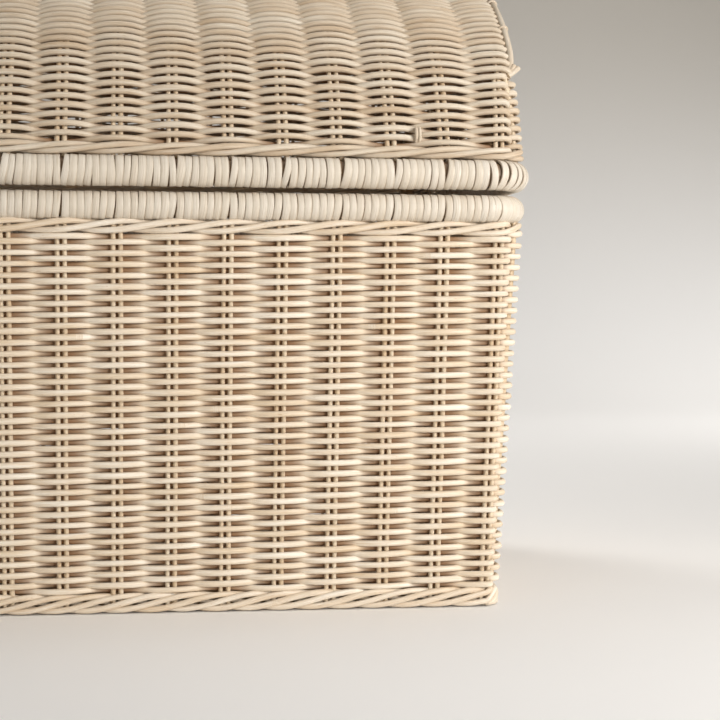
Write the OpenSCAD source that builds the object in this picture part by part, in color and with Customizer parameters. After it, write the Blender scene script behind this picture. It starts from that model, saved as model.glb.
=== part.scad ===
// Wicker storage trunk with a barrel-top lid.
// Woven cane walls on a frame of rattan poles; the lid turns on its own back rim,
// held by two bound cane rings. Origin: middle of the footprint, on the floor.
// Front faces -Y, width runs along X, +Z is up.

/* [Trunk] */
// Width between the middles of the two end rims
rim_w = 560; // [480:10:700]
// Depth between the middles of the front and back rims
rim_d = 380; // [340:10:440]
// Height from the floor to the top of the base rim
base_h = 275; // [230:5:320]
// How far each base wall leans in at the floor
taper = 13; // [9:1:14]
// Radius of the upright corners at the rims, in plan
corner_r = 20; // [19:1:26]
// Thickness of the woven walls
wall_t = 10; // [9.6:0.2:10.4]
// Thickness of the twined bands that finish the walls
band_t = 12; // [12:0.5:13]

/* [Rims] */
// Radius of the wrapped base rim
base_rim_r = 9.2; // [9:0.1:9.8]
// Radius of the wrapped lid rim
lid_rim_r = 10; // [9.6:0.1:10.4]
// Thickness of the cane strip wound on the rims
wrap_t = 2; // [1.6:0.2:2.4]
// Gap between the two rims when the trunk is shut
rim_gap = 3; // [2:0.2:3.4]
// How far the lid rim stands outside the base rim, each side
lid_over = 2; // [1:0.5:3]

/* [Lid] */
// Lean of the barrel's surface where it leaves the rim, in degrees
arch_lean = 17; // [14:1:20]
// Height of the twined band on the lid rim
lid_band_h = 9; // [8:1:10]
// Radius of the bent poles inside the ends of the lid
arch_pole_r = 6; // [5:0.5:6]
// Radius of the cane that trims the ends of the barrel
edge_r = 2.4; // [2:0.1:2.6]

/* [Stakes] */
// Distance between neighbouring pairs of stakes on the long walls
stake_pitch = 35.7; // [34:0.1:37]
// Radius of one stake
stake_r = 1.55; // [1.4:0.05:1.55]
// Distance between the two stakes of a pair
pair_gap = 4.5; // [4:0.1:5]

/* [Bottom] */
// Height of the twined border on the floor
border_h = 14; // [13:0.5:16]
// Radius of the pole frame under the floor panel
frame_r = 7; // [6.5:0.5:7]
// Radius of the cross bars under the floor panel
bar_r = 5.5; // [4.5:0.5:5.5]
// Radius of the four corner posts
post_r = 8; // [7:0.5:8]
// Thickness of the woven floor panel
floor_t = 6; // [5:0.5:8]

/* [Hinges] */
// Distance of each ring hinge from the middle, in stake pitches
ring_at = 5; // [3:1:5]
// Width of one ring hinge
ring_w = 26; // [20:1:28]
// Thickness of the bound cane of a ring hinge
ring_t = 2.4; // [2:0.1:2.6]
// Play of the lid rim inside the ring hinges
ring_play = 0.4; // [0.3:0.05:0.5]

/* [Hidden] */
$fn = 48;

CANE = "#ddc9a6";
CANE_DARK = "#cdb58c";
POLE = "#c9a877";
STEEL = "#8d8f92";

// Upright corners share one centre line, so the walls between them stay flat.
cx = rim_w / 2 - corner_r;
cy = rim_d / 2 - corner_r;
skin_out = wall_t / 2;
skin_in = stake_r + 0.05;
base_rim_z = base_h - base_rim_r;
base_band_h = 10;
base_band_z = base_rim_z - base_rim_r - base_band_h;
lid_rim_z = base_h + rim_gap + lid_rim_r;
lid_y = rim_d / 2 + lid_over;
lid_band_z = lid_rim_z + lid_rim_r;
lid_wall_z = lid_band_z + lid_band_h;

// The barrel is one circular arc from the front rim over to the back rim.
arch_r = rim_d / 2 / cos(arch_lean);
arch_z = lid_band_z - 2 - arch_r * sin(arch_lean);
arch_start = asin((lid_wall_z + 1.5 - arch_z) / arch_r);
arch_split = 55;
edge_start = 33;
arch_pole_bend = arch_r - skin_out - arch_pole_r - 1;

pairs_half = floor((cx - pair_gap) / stake_pitch + 0.5);
end_pairs = 4;
end_pitch = (cy + corner_r * cos(67.5)) / (end_pairs + 1);
stake_fan = 0.98;
corner_angles = [22.5, 67.5];
ring_x = ring_at * stake_pitch;
ring_r_lid = lid_rim_r + ring_play + ring_t;
ring_r_base = base_rim_r + ring_t;
open = 0.2;
far = 1000;

floor_z = 1.5 + 2 * frame_r;
frame_x = floor(cx + mid_r(border_h / 2) - band_t / 2 - 0.5 - frame_r);
frame_y = frame_x - cx + cy;
frame_corner = 10;
// The posts stand over the middle of the frame pole where it turns the corner.
post_foot = frame_x - cx - frame_corner * (1 - cos(45));
post_head = 3.8;
nail_r = 1.5;
nail_top = 42;

// Corner radius of the middle of the base wall at height z.
function mid_r(z) = corner_r - taper * (base_rim_z - z) / base_rim_z;

// Outline of a wall that runs from z0 to z1, between two offsets from its middle.
function wall_outline(z0, z1, lo, hi) =
    [[mid_r(z0) + lo, z0], [mid_r(z0) + hi, z0], [mid_r(z1) + hi, z1], [mid_r(z1) + lo, z1]];

// A round bar from point a to point b.
module strut(a, b, r) {
    d = b - a;
    translate(a) rotate([0, acos(d[2] / norm(d)), atan2(d[1], d[0])]) cylinder(h = norm(d), r = r);
}

// Straight run of a profile along a long wall (side 1 back, -1 front) or an end (1 right, -1 left).
// The profile is drawn as distance from the corner centre line and height.
module run_x(side, half) {
    mirror([0, side < 0 ? 1 : 0, 0]) translate([0, cy, 0])
        rotate([90, 0, 90]) linear_extrude(height = 2 * half, center = true) children();
}
module run_y(side, half) {
    mirror([side < 0 ? 1 : 0, 0, 0]) translate([cx, 0, 0])
        rotate([90, 0, 0]) linear_extrude(height = 2 * half, center = true) children();
}
// The same profile turned round the corner of quadrant (sx, sy).
module corner_at(sx, sy, x, y) {
    mirror([sx < 0 ? 1 : 0, 0, 0]) mirror([0, sy < 0 ? 1 : 0, 0])
        translate([x, y, 0]) rotate_extrude(angle = 90) children();
}
module corner(sx, sy) { corner_at(sx, sy, cx, cy) children(); }
// A closed ring of one profile round all four sides.
module ring_of_profile() {
    for (s = [-1, 1]) {
        run_x(s, cx) children();
        run_y(s, cy) children();
    }
    for (sx = [-1, 1], sy = [-1, 1]) corner(sx, sy) children();
}

// ---------- bottom ----------

module nail_holes() {
    for (sx = [-1, 1], sy = [-1, 1])
        translate([sx * (cx + post_foot), sy * (cy + post_foot), 1]) cylinder(h = nail_top, r = nail_r);
}

module bottom_frame() {
    fx = frame_x - frame_corner;
    fy = frame_y - frame_corner;
    z = floor_z - frame_r;
    color(POLE) {
        for (s = [-1, 1]) {
            translate([0, s * frame_y, z]) rotate([0, 90, 0]) rim_run(2 * fx, 0, frame_r);
            translate([s * frame_x, 0, z]) rotate([90, 0, 0]) rim_run(2 * fy, 0, frame_r);
        }
        difference() {
            for (sx = [-1, 1], sy = [-1, 1]) corner_at(sx, sy, fx, fy)
                translate([frame_corner, z]) circle(r = frame_r);
            nail_holes();
        }
    }
}

module floor_bars() {
    color(POLE) for (k = [-1:1])
        translate([k * rim_w * 0.22, 0, floor_z - bar_r]) rotate([90, 0, 0])
            cylinder(h = 2 * (frame_y - frame_r - 0.5), r = bar_r, center = true);
}

module floor_weave() {
    r = mid_r(floor_z) - skin_out - 0.3;
    color(CANE) difference() {
        translate([0, 0, floor_z]) linear_extrude(height = floor_t) {
            square([2 * (cx + r), 2 * cy], center = true);
            square([2 * cx, 2 * (cy + r)], center = true);
            for (sx = [-1, 1], sy = [-1, 1]) translate([sx * cx, sy * cy]) circle(r = r);
        }
        nail_holes();
    }
}

module frame_nails() {
    color(STEEL) for (sx = [-1, 1], sy = [-1, 1])
        translate([sx * (cx + post_foot), sy * (cy + post_foot), 1]) cylinder(h = nail_top - 1, r = nail_r);
}

module corner_post(sx, sy) {
    foot = [sx * (cx + post_foot), sy * (cy + post_foot), floor_z + floor_t];
    head = [sx * (cx + post_head), sy * (cy + post_head), base_band_z + base_band_h];
    color(POLE) difference() {
        intersection() {
            strut(foot - 0.1 * (head - foot), head + 0.1 * (head - foot), post_r);
            translate([-far / 2, -far / 2, foot[2]]) cube([far, far, head[2] - foot[2]]);
        }
        nail_holes();
    }
}
module corner_post_front_left() { corner_post(-1, -1); }
module corner_post_front_right() { corner_post(1, -1); }
module corner_post_back_left() { corner_post(-1, 1); }
module corner_post_back_right() { corner_post(1, 1); }

// ---------- base walls ----------

module bottom_border() {
    bevel = 3;
    m = mid_r(border_h / 2);
    b = band_t / 2 + 0.5;
    color(CANE_DARK) ring_of_profile() polygon([
        [m - b, 0], [m + b - bevel, 0], [m + b, bevel], [m + b, border_h - bevel],
        [m + b - bevel, border_h], [m - b, border_h]]);
}

// The weavers pass the stakes on both sides, so a wall is an outer and an inner layer.
module wall_skins() {
    polygon(wall_outline(border_h, base_band_z, skin_in, skin_out));
    polygon(wall_outline(border_h, base_band_z, -skin_out, -skin_in));
}
module long_wall(side) { color(CANE) run_x(side, cx) wall_skins(); }
module end_wall(side) {
    color(CANE) {
        run_y(side, cy) wall_skins();
        for (sy = [-1, 1]) corner(side, sy) wall_skins();
    }
}
module base_front_weave() { long_wall(-1); }
module base_back_weave() { long_wall(1); }
module base_left_weave() { end_wall(-1); }
module base_right_weave() { end_wall(1); }

module long_wall_stakes(side) {
    z0 = border_h;
    z1 = base_band_z;
    color(CANE_DARK) for (k = [-pairs_half:pairs_half - 1], p = [-1, 1]) {
        x = (k + 0.5) * stake_pitch;
        strut([x * stake_fan + p * pair_gap / 2, side * (cy + mid_r(z0)), z0],
            [x + p * pair_gap / 2, side * (cy + mid_r(z1)), z1], stake_r);
    }
}
// Point on the round corner at angle a from the long wall, moved along the corner by step.
function corner_point(sx, sy, a, r, step, z) =
    [sx * (cx + r * sin(a) + step * cos(a)), sy * (cy + r * cos(a) - step * sin(a)), z];

// Radius at which both stakes of a pair touch the middle of a round corner.
function pair_r(r) = sqrt(r * r - pair_gap * pair_gap / 4);

// A pair of stakes on the round corner.
module corner_stakes(sx, sy, a, z0, z1, r0, r1) {
    for (step = [-pair_gap / 2, pair_gap / 2])
        strut(corner_point(sx, sy, a, r0, step, z0), corner_point(sx, sy, a, r1, step, z1), stake_r);
}
module end_wall_stakes(side) {
    z0 = border_h;
    z1 = base_band_z;
    color(CANE_DARK) {
        for (k = [-end_pairs:end_pairs], p = [-1, 1])
            strut([side * (cx + mid_r(z0)), k * end_pitch * stake_fan + p * pair_gap / 2, z0],
                [side * (cx + mid_r(z1)), k * end_pitch + p * pair_gap / 2, z1], stake_r);
        for (sy = [-1, 1], a = corner_angles)
            corner_stakes(side, sy, a, z0, z1, pair_r(mid_r(z0)), pair_r(mid_r(z1)));
    }
}
module base_front_stakes() { long_wall_stakes(-1); }
module base_back_stakes() { long_wall_stakes(1); }
module base_left_stakes() { end_wall_stakes(-1); }
module base_right_stakes() { end_wall_stakes(1); }

module base_upper_wale() {
    m = mid_r(base_band_z + base_band_h / 2);
    b = band_t / 2;
    color(CANE) difference() {
        ring_of_profile() translate([m - b, base_band_z]) square([band_t, base_band_h]);
        for (s = [-1, 1]) translate([s * ring_x, rim_d / 2, base_rim_z]) rotate([0, 90, 0])
            cylinder(h = ring_w + 2 * open, r = ring_r_base + open, center = true);
    }
}

// ---------- rims ----------

// A pole bent into the rim's rounded rectangle; inner is 0 for a solid pole.
module rim(bend, z, inner, outer) {
    for (s = [-1, 1]) {
        translate([0, s * (cy + bend), z]) rotate([0, 90, 0]) rim_run(2 * cx, inner, outer);
        translate([s * (cx + bend), 0, z]) rotate([90, 0, 0]) rim_run(2 * cy, inner, outer);
    }
    for (sx = [-1, 1], sy = [-1, 1]) corner(sx, sy) translate([bend, z]) rim_section(inner, outer);
}
module rim_run(length, inner, outer) {
    linear_extrude(height = length, center = true) rim_section(inner, outer);
}
module rim_section(inner, outer) {
    difference() {
        circle(r = outer);
        if (inner > 0) circle(r = inner);
    }
}
module base_rim_pole() { color(POLE) rim(corner_r, base_rim_z, 0, base_rim_r - wrap_t); }
module base_rim_wrap() { color(CANE) rim(corner_r, base_rim_z, base_rim_r - wrap_t, base_rim_r); }
module lid_rim_pole() { color(POLE) rim(corner_r + lid_over, lid_rim_z, 0, lid_rim_r - wrap_t); }
module lid_rim_wrap() { color(CANE) rim(corner_r + lid_over, lid_rim_z, lid_rim_r - wrap_t, lid_rim_r); }

// Bound tight on the base rim; the lid's back rim turns in the upper eye.
module hinge_ring(side) {
    web = 2 * (base_rim_r + ring_t) - 2;
    color(CANE_DARK) translate([side * ring_x, 0, 0]) rotate([90, 0, 90])
        linear_extrude(height = ring_w, center = true) difference() {
            union() {
                translate([rim_d / 2, base_rim_z]) circle(r = ring_r_base);
                translate([lid_y, lid_rim_z]) circle(r = ring_r_lid);
                translate([(rim_d / 2 + lid_y - web) / 2, base_rim_z]) square([web, lid_rim_z - base_rim_z]);
            }
            translate([rim_d / 2, base_rim_z]) circle(r = base_rim_r);
            translate([lid_y, lid_rim_z]) circle(r = lid_rim_r + ring_play);
        }
}
module hinge_ring_left() { hinge_ring(-1); }
module hinge_ring_right() { hinge_ring(1); }

// ---------- lid ----------

module lid_lower_wale() {
    b = band_t / 2;
    color(CANE) difference() {
        ring_of_profile() translate([corner_r - b, lid_band_z]) square([band_t, lid_band_h]);
        for (s = [-1, 1]) translate([s * ring_x, lid_y, lid_rim_z]) rotate([0, 90, 0])
            cylinder(h = ring_w + 2 * ring_play + 1, r = ring_r_lid + 0.8, center = true);
    }
}

// Sector of the barrel from x0 to x1, r0 to r1, and angle a0 to a1 above the back.
module arch_sector(x0, x1, r0, r1, a0, a1) {
    translate([0, 0, arch_z]) rotate([0, 90, 0]) rotate([0, 0, 90 + a0])
        rotate_extrude(angle = a1 - a0) translate([r0, x0]) square([r1 - r0, x1 - x0]);
}
module arch_skins(a0, a1) {
    color(CANE) intersection() {
        for (r = [arch_r - skin_out, arch_r + skin_in])
            arch_sector(-cx, cx, r, r + skin_out - skin_in, a0, a1);
        translate([-far / 2, -far / 2, lid_wall_z]) cube([far, far, far]);
    }
}
module lid_front_weave() { arch_skins(180 - arch_split, 180 - arch_lean + 5); }
module lid_top_weave() { arch_skins(arch_split, 180 - arch_split); }
module lid_back_weave() { arch_skins(arch_lean - 5, arch_split); }

// Solid under the barrel and inside the rounded plan, grown by off, at one end of the lid.
module end_block(side, off) {
    intersection() {
        translate([0, 0, arch_z]) rotate([0, 90, 0]) cylinder(h = far, r = arch_r + off, center = true);
        mirror([side < 0 ? 1 : 0, 0, 0]) translate([0, 0, lid_wall_z]) linear_extrude(height = far) {
            translate([cx, -cy]) square([corner_r + off, 2 * cy]);
            translate([cx - 1, -cy - corner_r - off]) square([1, 2 * (cy + corner_r + off)]);
            for (sy = [-1, 1]) translate([cx, sy * cy]) circle(r = corner_r + off);
        }
    }
}
module end_weave(side) {
    color(CANE) intersection() {
        union() {
            difference() { end_block(side, skin_out); end_block(side, skin_in); }
            difference() { end_block(side, -skin_in); end_block(side, -skin_out); }
        }
        mirror([side < 0 ? 1 : 0, 0, 0]) translate([cx, -far / 2, 0]) cube([far, far, far]);
    }
}
module lid_left_end_weave() { end_weave(-1); }
module lid_right_end_weave() { end_weave(1); }

// A bent stake or pole that follows the barrel.
module arch_rod(x, bend, r, a0) {
    translate([0, 0, arch_z]) rotate([0, 90, 0]) rotate([0, 0, 90 + a0])
        rotate_extrude(angle = 180 - 2 * a0) translate([bend, x]) circle(r = r);
}
module lid_arch_stakes() {
    color(CANE_DARK) for (k = [-pairs_half:pairs_half - 1], p = [-1, 1])
        arch_rod((k + 0.5) * stake_pitch + p * pair_gap / 2, arch_r, stake_r, arch_start);
}
module lid_end_stakes(side) {
    z0 = lid_wall_z + 0.5;
    corner_top = 15;
    edge_pair = cx + corner_r * sin(corner_angles[0]);
    color(CANE_DARK) {
        for (k = [-end_pairs:end_pairs], p = [-1, 1]) {
            y = k * end_pitch + p * pair_gap / 2;
            top = arch_z + sqrt(pow(arch_r - skin_out - 1, 2) - pow(abs(y) + stake_r, 2));
            translate([side * (cx + corner_r), y, z0]) cylinder(h = top - z0, r = stake_r);
        }
        for (sy = [-1, 1])
            corner_stakes(side, sy, corner_angles[1], z0, z0 + corner_top, pair_r(corner_r), pair_r(corner_r));
        for (p = [-1, 1])
            arch_rod(side * edge_pair + p * pair_gap / 2, arch_r, stake_r, edge_start + 2);
    }
}
module lid_left_end_stakes() { lid_end_stakes(-1); }
module lid_right_end_stakes() { lid_end_stakes(1); }

module lid_arch_pole(side) {
    foot = asin((lid_band_z + 2 * arch_pole_r * sin(arch_lean) - arch_z) / arch_pole_bend);
    color(POLE) arch_rod(side * (cx + 3), arch_pole_bend, arch_pole_r, foot);
}
module lid_left_arch_pole() { lid_arch_pole(-1); }
module lid_right_arch_pole() { lid_arch_pole(1); }

module lid_edge_strand(side) {
    color(CANE) arch_rod(side * (cx + corner_r + skin_out + edge_r + 0.1), arch_r + edge_r, edge_r, edge_start);
}
module lid_left_edge_strand() { lid_edge_strand(-1); }
module lid_right_edge_strand() { lid_edge_strand(1); }

bottom_frame();
floor_bars();
floor_weave();
frame_nails();
corner_post_front_left();
corner_post_front_right();
corner_post_back_left();
corner_post_back_right();
bottom_border();
base_front_weave();
base_back_weave();
base_left_weave();
base_right_weave();
base_front_stakes();
base_back_stakes();
base_left_stakes();
base_right_stakes();
base_upper_wale();
base_rim_pole();
base_rim_wrap();
hinge_ring_left();
hinge_ring_right();
lid_rim_pole();
lid_rim_wrap();
lid_lower_wale();
lid_front_weave();
lid_top_weave();
lid_back_weave();
lid_left_end_weave();
lid_right_end_weave();
lid_arch_stakes();
lid_left_end_stakes();
lid_right_end_stakes();
lid_left_arch_pole();
lid_right_arch_pole();
lid_left_edge_strand();
lid_right_edge_strand();
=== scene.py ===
"""Wicker storage trunk with a barrel-top lid: the woven cane, the wound rims and their finishes."""

import logging
import math
from dataclasses import dataclass, field
from enum import Enum
from typing import Any, Callable, Sequence

import bpy
import numpy as np
from mathutils import Euler, Matrix, Vector


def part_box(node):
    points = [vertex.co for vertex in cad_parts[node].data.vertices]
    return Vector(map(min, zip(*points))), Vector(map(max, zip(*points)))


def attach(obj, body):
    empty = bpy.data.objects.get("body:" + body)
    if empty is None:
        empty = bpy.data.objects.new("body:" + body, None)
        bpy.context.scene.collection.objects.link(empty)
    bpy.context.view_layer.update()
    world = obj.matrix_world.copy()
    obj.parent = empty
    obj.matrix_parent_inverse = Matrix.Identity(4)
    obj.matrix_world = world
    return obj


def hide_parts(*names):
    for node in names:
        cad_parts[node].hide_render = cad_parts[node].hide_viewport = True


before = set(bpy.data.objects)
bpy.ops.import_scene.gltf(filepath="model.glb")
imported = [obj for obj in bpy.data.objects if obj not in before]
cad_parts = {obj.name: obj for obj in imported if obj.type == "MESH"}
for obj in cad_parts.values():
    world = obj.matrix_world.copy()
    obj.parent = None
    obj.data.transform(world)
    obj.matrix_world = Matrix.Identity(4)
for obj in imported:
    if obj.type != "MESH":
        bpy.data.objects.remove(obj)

MM = 0.001
UP = np.array([0.0, 0.0, 1.0])
LOG = logging.getLogger("trunk")
PAIR = (-0.5, 0.5)  # the two stakes of a pair, in shares of the gap between them

Colour = tuple[float, float, float]


class Body(Enum):
    """The two halves that move against each other."""

    BASE = "base"
    LID = "lid"


class Slot(Enum):
    """Material slot names; no piece made here takes one."""

    WEAVE = "weave"
    STAKE = "stake"
    WRAP = "wrap"


class Side(Enum):
    """Left or right end of the trunk."""

    LEFT = -1
    RIGHT = 1


# ---------- node graphs ----------


@dataclass(frozen=True)
class Signal:
    """A node socket that can be used in an expression."""

    graph: "Graph"
    socket: bpy.types.NodeSocket

    def _math(self, operation: str, first: Any, second: Any) -> "Signal":
        """Adds one Math node.

        Args:
            operation: The Math node's operation.
            first: Signal or number.
            second: Signal or number.

        Returns:
            The result.
        """
        return self.graph.add("ShaderNodeMath", {"operation": operation}, {0: first, 1: second})[0]

    def __add__(self, other: Any) -> "Signal":
        """Sum."""
        return self._math("ADD", self, other)

    def __radd__(self, other: Any) -> "Signal":
        """Sum, number first."""
        return self._math("ADD", other, self)

    def __sub__(self, other: Any) -> "Signal":
        """Difference."""
        return self._math("SUBTRACT", self, other)

    def __rsub__(self, other: Any) -> "Signal":
        """Difference, number first."""
        return self._math("SUBTRACT", other, self)

    def __mul__(self, other: Any) -> "Signal":
        """Product."""
        return self._math("MULTIPLY", self, other)

    def __truediv__(self, other: Any) -> "Signal":
        """Quotient."""
        return self._math("DIVIDE", self, other)

    def __rtruediv__(self, other: Any) -> "Signal":
        """Quotient, number first."""
        return self._math("DIVIDE", other, self)


@dataclass(frozen=True)
class Made:
    """A node that has just been added."""

    graph: "Graph"
    node: bpy.types.Node

    def __getitem__(self, key: int | str) -> Signal:
        """Output socket by place or name."""
        return Signal(self.graph, self.node.outputs[key])


@dataclass(frozen=True)
class Graph:
    """Adds nodes and links to one node tree."""

    tree: bpy.types.NodeTree

    def add(self, kind: str, settings: dict[str, Any] | None = None,
            inputs: dict[int | str, Any] | None = None) -> Made:
        """Adds a node, sets it and feeds its sockets.

        Args:
            kind: The node's type name.
            settings: The node's own settings.
            inputs: A value or a Signal for each input, by place or name.

        Returns:
            The node.
        """
        node = self.tree.nodes.new(kind)
        for name, value in (settings or {}).items():
            setattr(node, name, value)
        for key, value in (inputs or {}).items():
            if isinstance(value, Signal):
                self.tree.links.new(value.socket, node.inputs[key])
            else:
                node.inputs[key].default_value = value
        return Made(self, node)

    def blend(self, factor: Any, first: Any, second: Any, mode: str = "MIX") -> Signal:
        """Mixes two colours.

        Args:
            factor: Share of the second colour.
            first: First colour.
            second: Second colour.
            mode: Blend mode.

        Returns:
            The mixed colour.
        """
        settings = {"data_type": "RGBA", "blend_type": mode}
        first = first if isinstance(first, Signal) else (*first, 1.0)
        second = second if isinstance(second, Signal) else (*second, 1.0)
        return self.add("ShaderNodeMix", settings, {0: factor, 6: first, 7: second})[2]

    def vector(self, operation: str, first: Any, second: Any) -> Signal:
        """One Vector Math node.

        Args:
            operation: Its operation.
            first: First vector.
            second: Second vector, or the scale factor of SCALE.

        Returns:
            The resulting vector.
        """
        key = "Scale" if operation == "SCALE" else 1
        return self.add("ShaderNodeVectorMath", {"operation": operation}, {0: first, key: second})[0]

    def triple(self, x: Any, y: Any, z: Any) -> Signal:
        """A vector from its three parts."""
        return self.add("ShaderNodeCombineXYZ", None, {0: x, 1: y, 2: z})[0]

    def wave(self, operation: str, value: Signal) -> Signal:
        """One Math node with a single input, such as COSINE."""
        return self.add("ShaderNodeMath", {"operation": operation}, {0: value})[0]

    def attribute(self, name: str, output: str = "Fac") -> Signal:
        """An attribute of the piece, read in a material."""
        return self.add("ShaderNodeAttribute", {"attribute_name": name})[output]

    def named(self, name: str, kind: str = "FLOAT") -> Signal:
        """An attribute of the geometry, read in a geometry tree."""
        return self.add("GeometryNodeInputNamedAttribute", {"data_type": kind}, {"Name": name})[0]

    def noise(self, place: Signal, scale: float, detail: float) -> Signal:
        """Soft noise that is about one half on average."""
        return self.add("ShaderNodeTexNoise", None, {"Vector": place, "Scale": scale, "Detail": detail})[0]

    def ramp(self, value: Signal, zero_at: float, one_at: float) -> Signal:
        """Runs straight from zero at one value to one at another, and stays level outside them."""
        return self.add("ShaderNodeMapRange", None, {0: value, 1: zero_at, 2: one_at})[0]

    def bump(self, height: Signal, strength: float, depth: float) -> Signal:
        """A normal that follows a height."""
        inputs = {"Strength": strength, "Distance": depth, "Height": height}
        return self.add("ShaderNodeBump", None, inputs)[0]

    def give(self, geometry: Signal, finish: Signal) -> None:
        """Ends a geometry tree: real geometry, with its finish.

        Args:
            geometry: What the tree has made.
            finish: The material it takes.
        """
        whole = self.add("GeometryNodeRealizeInstances", None, {"Geometry": geometry})[0]
        dressed = self.add("GeometryNodeSetMaterial", None, {"Geometry": whole, "Material": finish})[0]
        self.add("NodeGroupOutput", None, {"Geometry": dressed})


# ---------- finishes ----------


@dataclass(frozen=True)
class Finish:
    """A named finish; each kind has a surface of its own."""

    name: str

    def surface(self, g: Graph) -> dict[str, Any]:
        """Inputs of the finish's shader."""
        raise NotImplementedError

    def material(self) -> bpy.types.Material:
        """Builds the material.

        Returns:
            The material, with the finish's surface.
        """
        mat = bpy.data.materials.new(self.name)
        mat.use_nodes = True
        mat.node_tree.nodes.clear()
        g = Graph(mat.node_tree)
        shader = g.add("ShaderNodeBsdfPrincipled", None, self.surface(g))[0]
        g.add("ShaderNodeOutputMaterial", None, {"Surface": shader})
        return mat


@dataclass(frozen=True)
class CaneFinish(Finish):
    """Peeled round cane: cream to tan, with grain along each strand, a few brown flecks and painted shade
    where a weaver passes behind the stakes.
    """

    light: Colour = (0.865, 0.80, 0.695)
    dark: Colour = (0.70, 0.56, 0.395)
    # Brown of the flecks, and also the brown of the painted shade where a weaver lies behind the stakes.
    fleck_and_shade: Colour = (0.42, 0.225, 0.095)
    # How much the painted shade darkens a weaver where it passes behind the stakes.
    shade: float = 0.78
    roughness: float = 0.56
    grain_depth: float = 0.5

    def surface(self, g: Graph) -> dict[str, Any]:
        """Cane on the attributes that every strand carries.

        Args:
            g: The material's nodes.

        Returns:
            The shader's inputs.
        """
        ring = g.attribute("ring", "Vector")
        along = g.attribute("along")
        cane = g.attribute("cane")
        depth = g.attribute("depth")
        # Each cane lies in its own part of the noise
        shift = g.triple(cane * 17.3, cane * -9.1, 0.0)

        def strand_noise(around: float, lengthways: float, detail: float) -> Signal:
            """Noise that follows the strand.

            Args:
                around: Features round the strand.
                lengthways: Features in a metre of its length.
                detail: Octaves.

            Returns:
                The noise value.
            """
            run = g.triple(0.0, 0.0, along * lengthways)
            place = g.vector("ADD", g.vector("SCALE", ring, around), run)
            return g.noise(g.vector("ADD", place, shift), 1.0, detail)

        tone = strand_noise(0.15, 9.0, 2.0)
        patch = strand_noise(0.9, 48.0, 3.0)
        fibre = strand_noise(5.5, 70.0, 4.0)
        marks = strand_noise(2.2, 190.0, 2.0)
        warmth = g.ramp(tone * 0.65 + patch * 0.35, 0.34, 0.66)
        colour = g.blend(warmth, self.light, self.dark)
        colour = g.blend((fibre - 0.40) * 1.5, colour, self.dark, "MULTIPLY")
        colour = g.blend(g.ramp(marks, 0.70, 0.78) * 0.55, colour, self.fleck_and_shade)
        # Painted shade: a weaver turns darker and browner where it lies behind the stakes, as if shade fell
        # there in the weave.
        under = g.ramp(depth, 0.05, -0.9)
        colour = g.blend(under * self.shade, colour, self.fleck_and_shade, "MULTIPLY")
        bump = g.bump(fibre * 0.7 + patch * 0.3, self.grain_depth, 0.25 * MM)
        rough = (fibre - 0.5) * 0.3 + self.roughness
        return {"Base Color": colour, "Roughness": rough, "Normal": bump, "Specular IOR Level": 0.32}


@dataclass(frozen=True)
class StripFinish(Finish):
    """Flat cane strip wound on the rims: smooth, pale, with fine fibres across the rim and painted shade at
    its edges, where the turns meet.
    """

    light: Colour = (0.72, 0.665, 0.58)
    dark: Colour = (0.64, 0.55, 0.43)
    # Brown of the painted shade at the strip's edges, where the turns meet; the strip uses it for nothing
    # else.
    fleck_and_shade: Colour = (0.50, 0.35, 0.20)
    roughness: float = 0.45

    def surface(self, g: Graph) -> dict[str, Any]:
        """Strip on the attributes of the wound turns.

        Args:
            g: The material's nodes.

        Returns:
            The shader's inputs.
        """
        across = g.attribute("across")
        ring = g.attribute("ring", "Vector")
        cane = g.attribute("cane")
        # Each turn lies in its own part of the noise
        shift = g.triple(cane * 23.1, cane * 7.7, across * 9.0)

        def strip_noise(around: float, detail: float) -> Signal:
            """Noise that runs with the strip.

            Args:
                around: Features round the rim.
                detail: Octaves.

            Returns:
                The noise value.
            """
            return g.noise(g.vector("ADD", g.vector("SCALE", ring, around), shift), 1.0, detail)

        fibre = strip_noise(0.5, 5.0)
        patch = strip_noise(1.6, 2.0)
        each = g.add("ShaderNodeTexWhiteNoise", {"noise_dimensions": "1D"}, {"W": cane})[0]
        colour = g.blend(each * 0.45 + patch * 0.5 - 0.05, self.light, self.dark)
        streak = g.ramp(fibre, 0.48, 0.75)
        colour = g.blend(streak * 0.75, colour, self.dark, "MULTIPLY")
        # Painted shade: each strip darkens towards its edges, in the creases where the turns meet.
        edge = g.ramp(g.wave("ABSOLUTE", across), 0.7, 1.0)
        colour = g.blend(edge * 0.3, colour, self.fleck_and_shade, "MULTIPLY")
        bump = g.bump(fibre, 0.4, 0.2 * MM)
        rough = fibre * 0.25 + (self.roughness - 0.1)
        return {"Base Color": colour, "Roughness": rough, "Normal": bump, "Specular IOR Level": 0.4}


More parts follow.
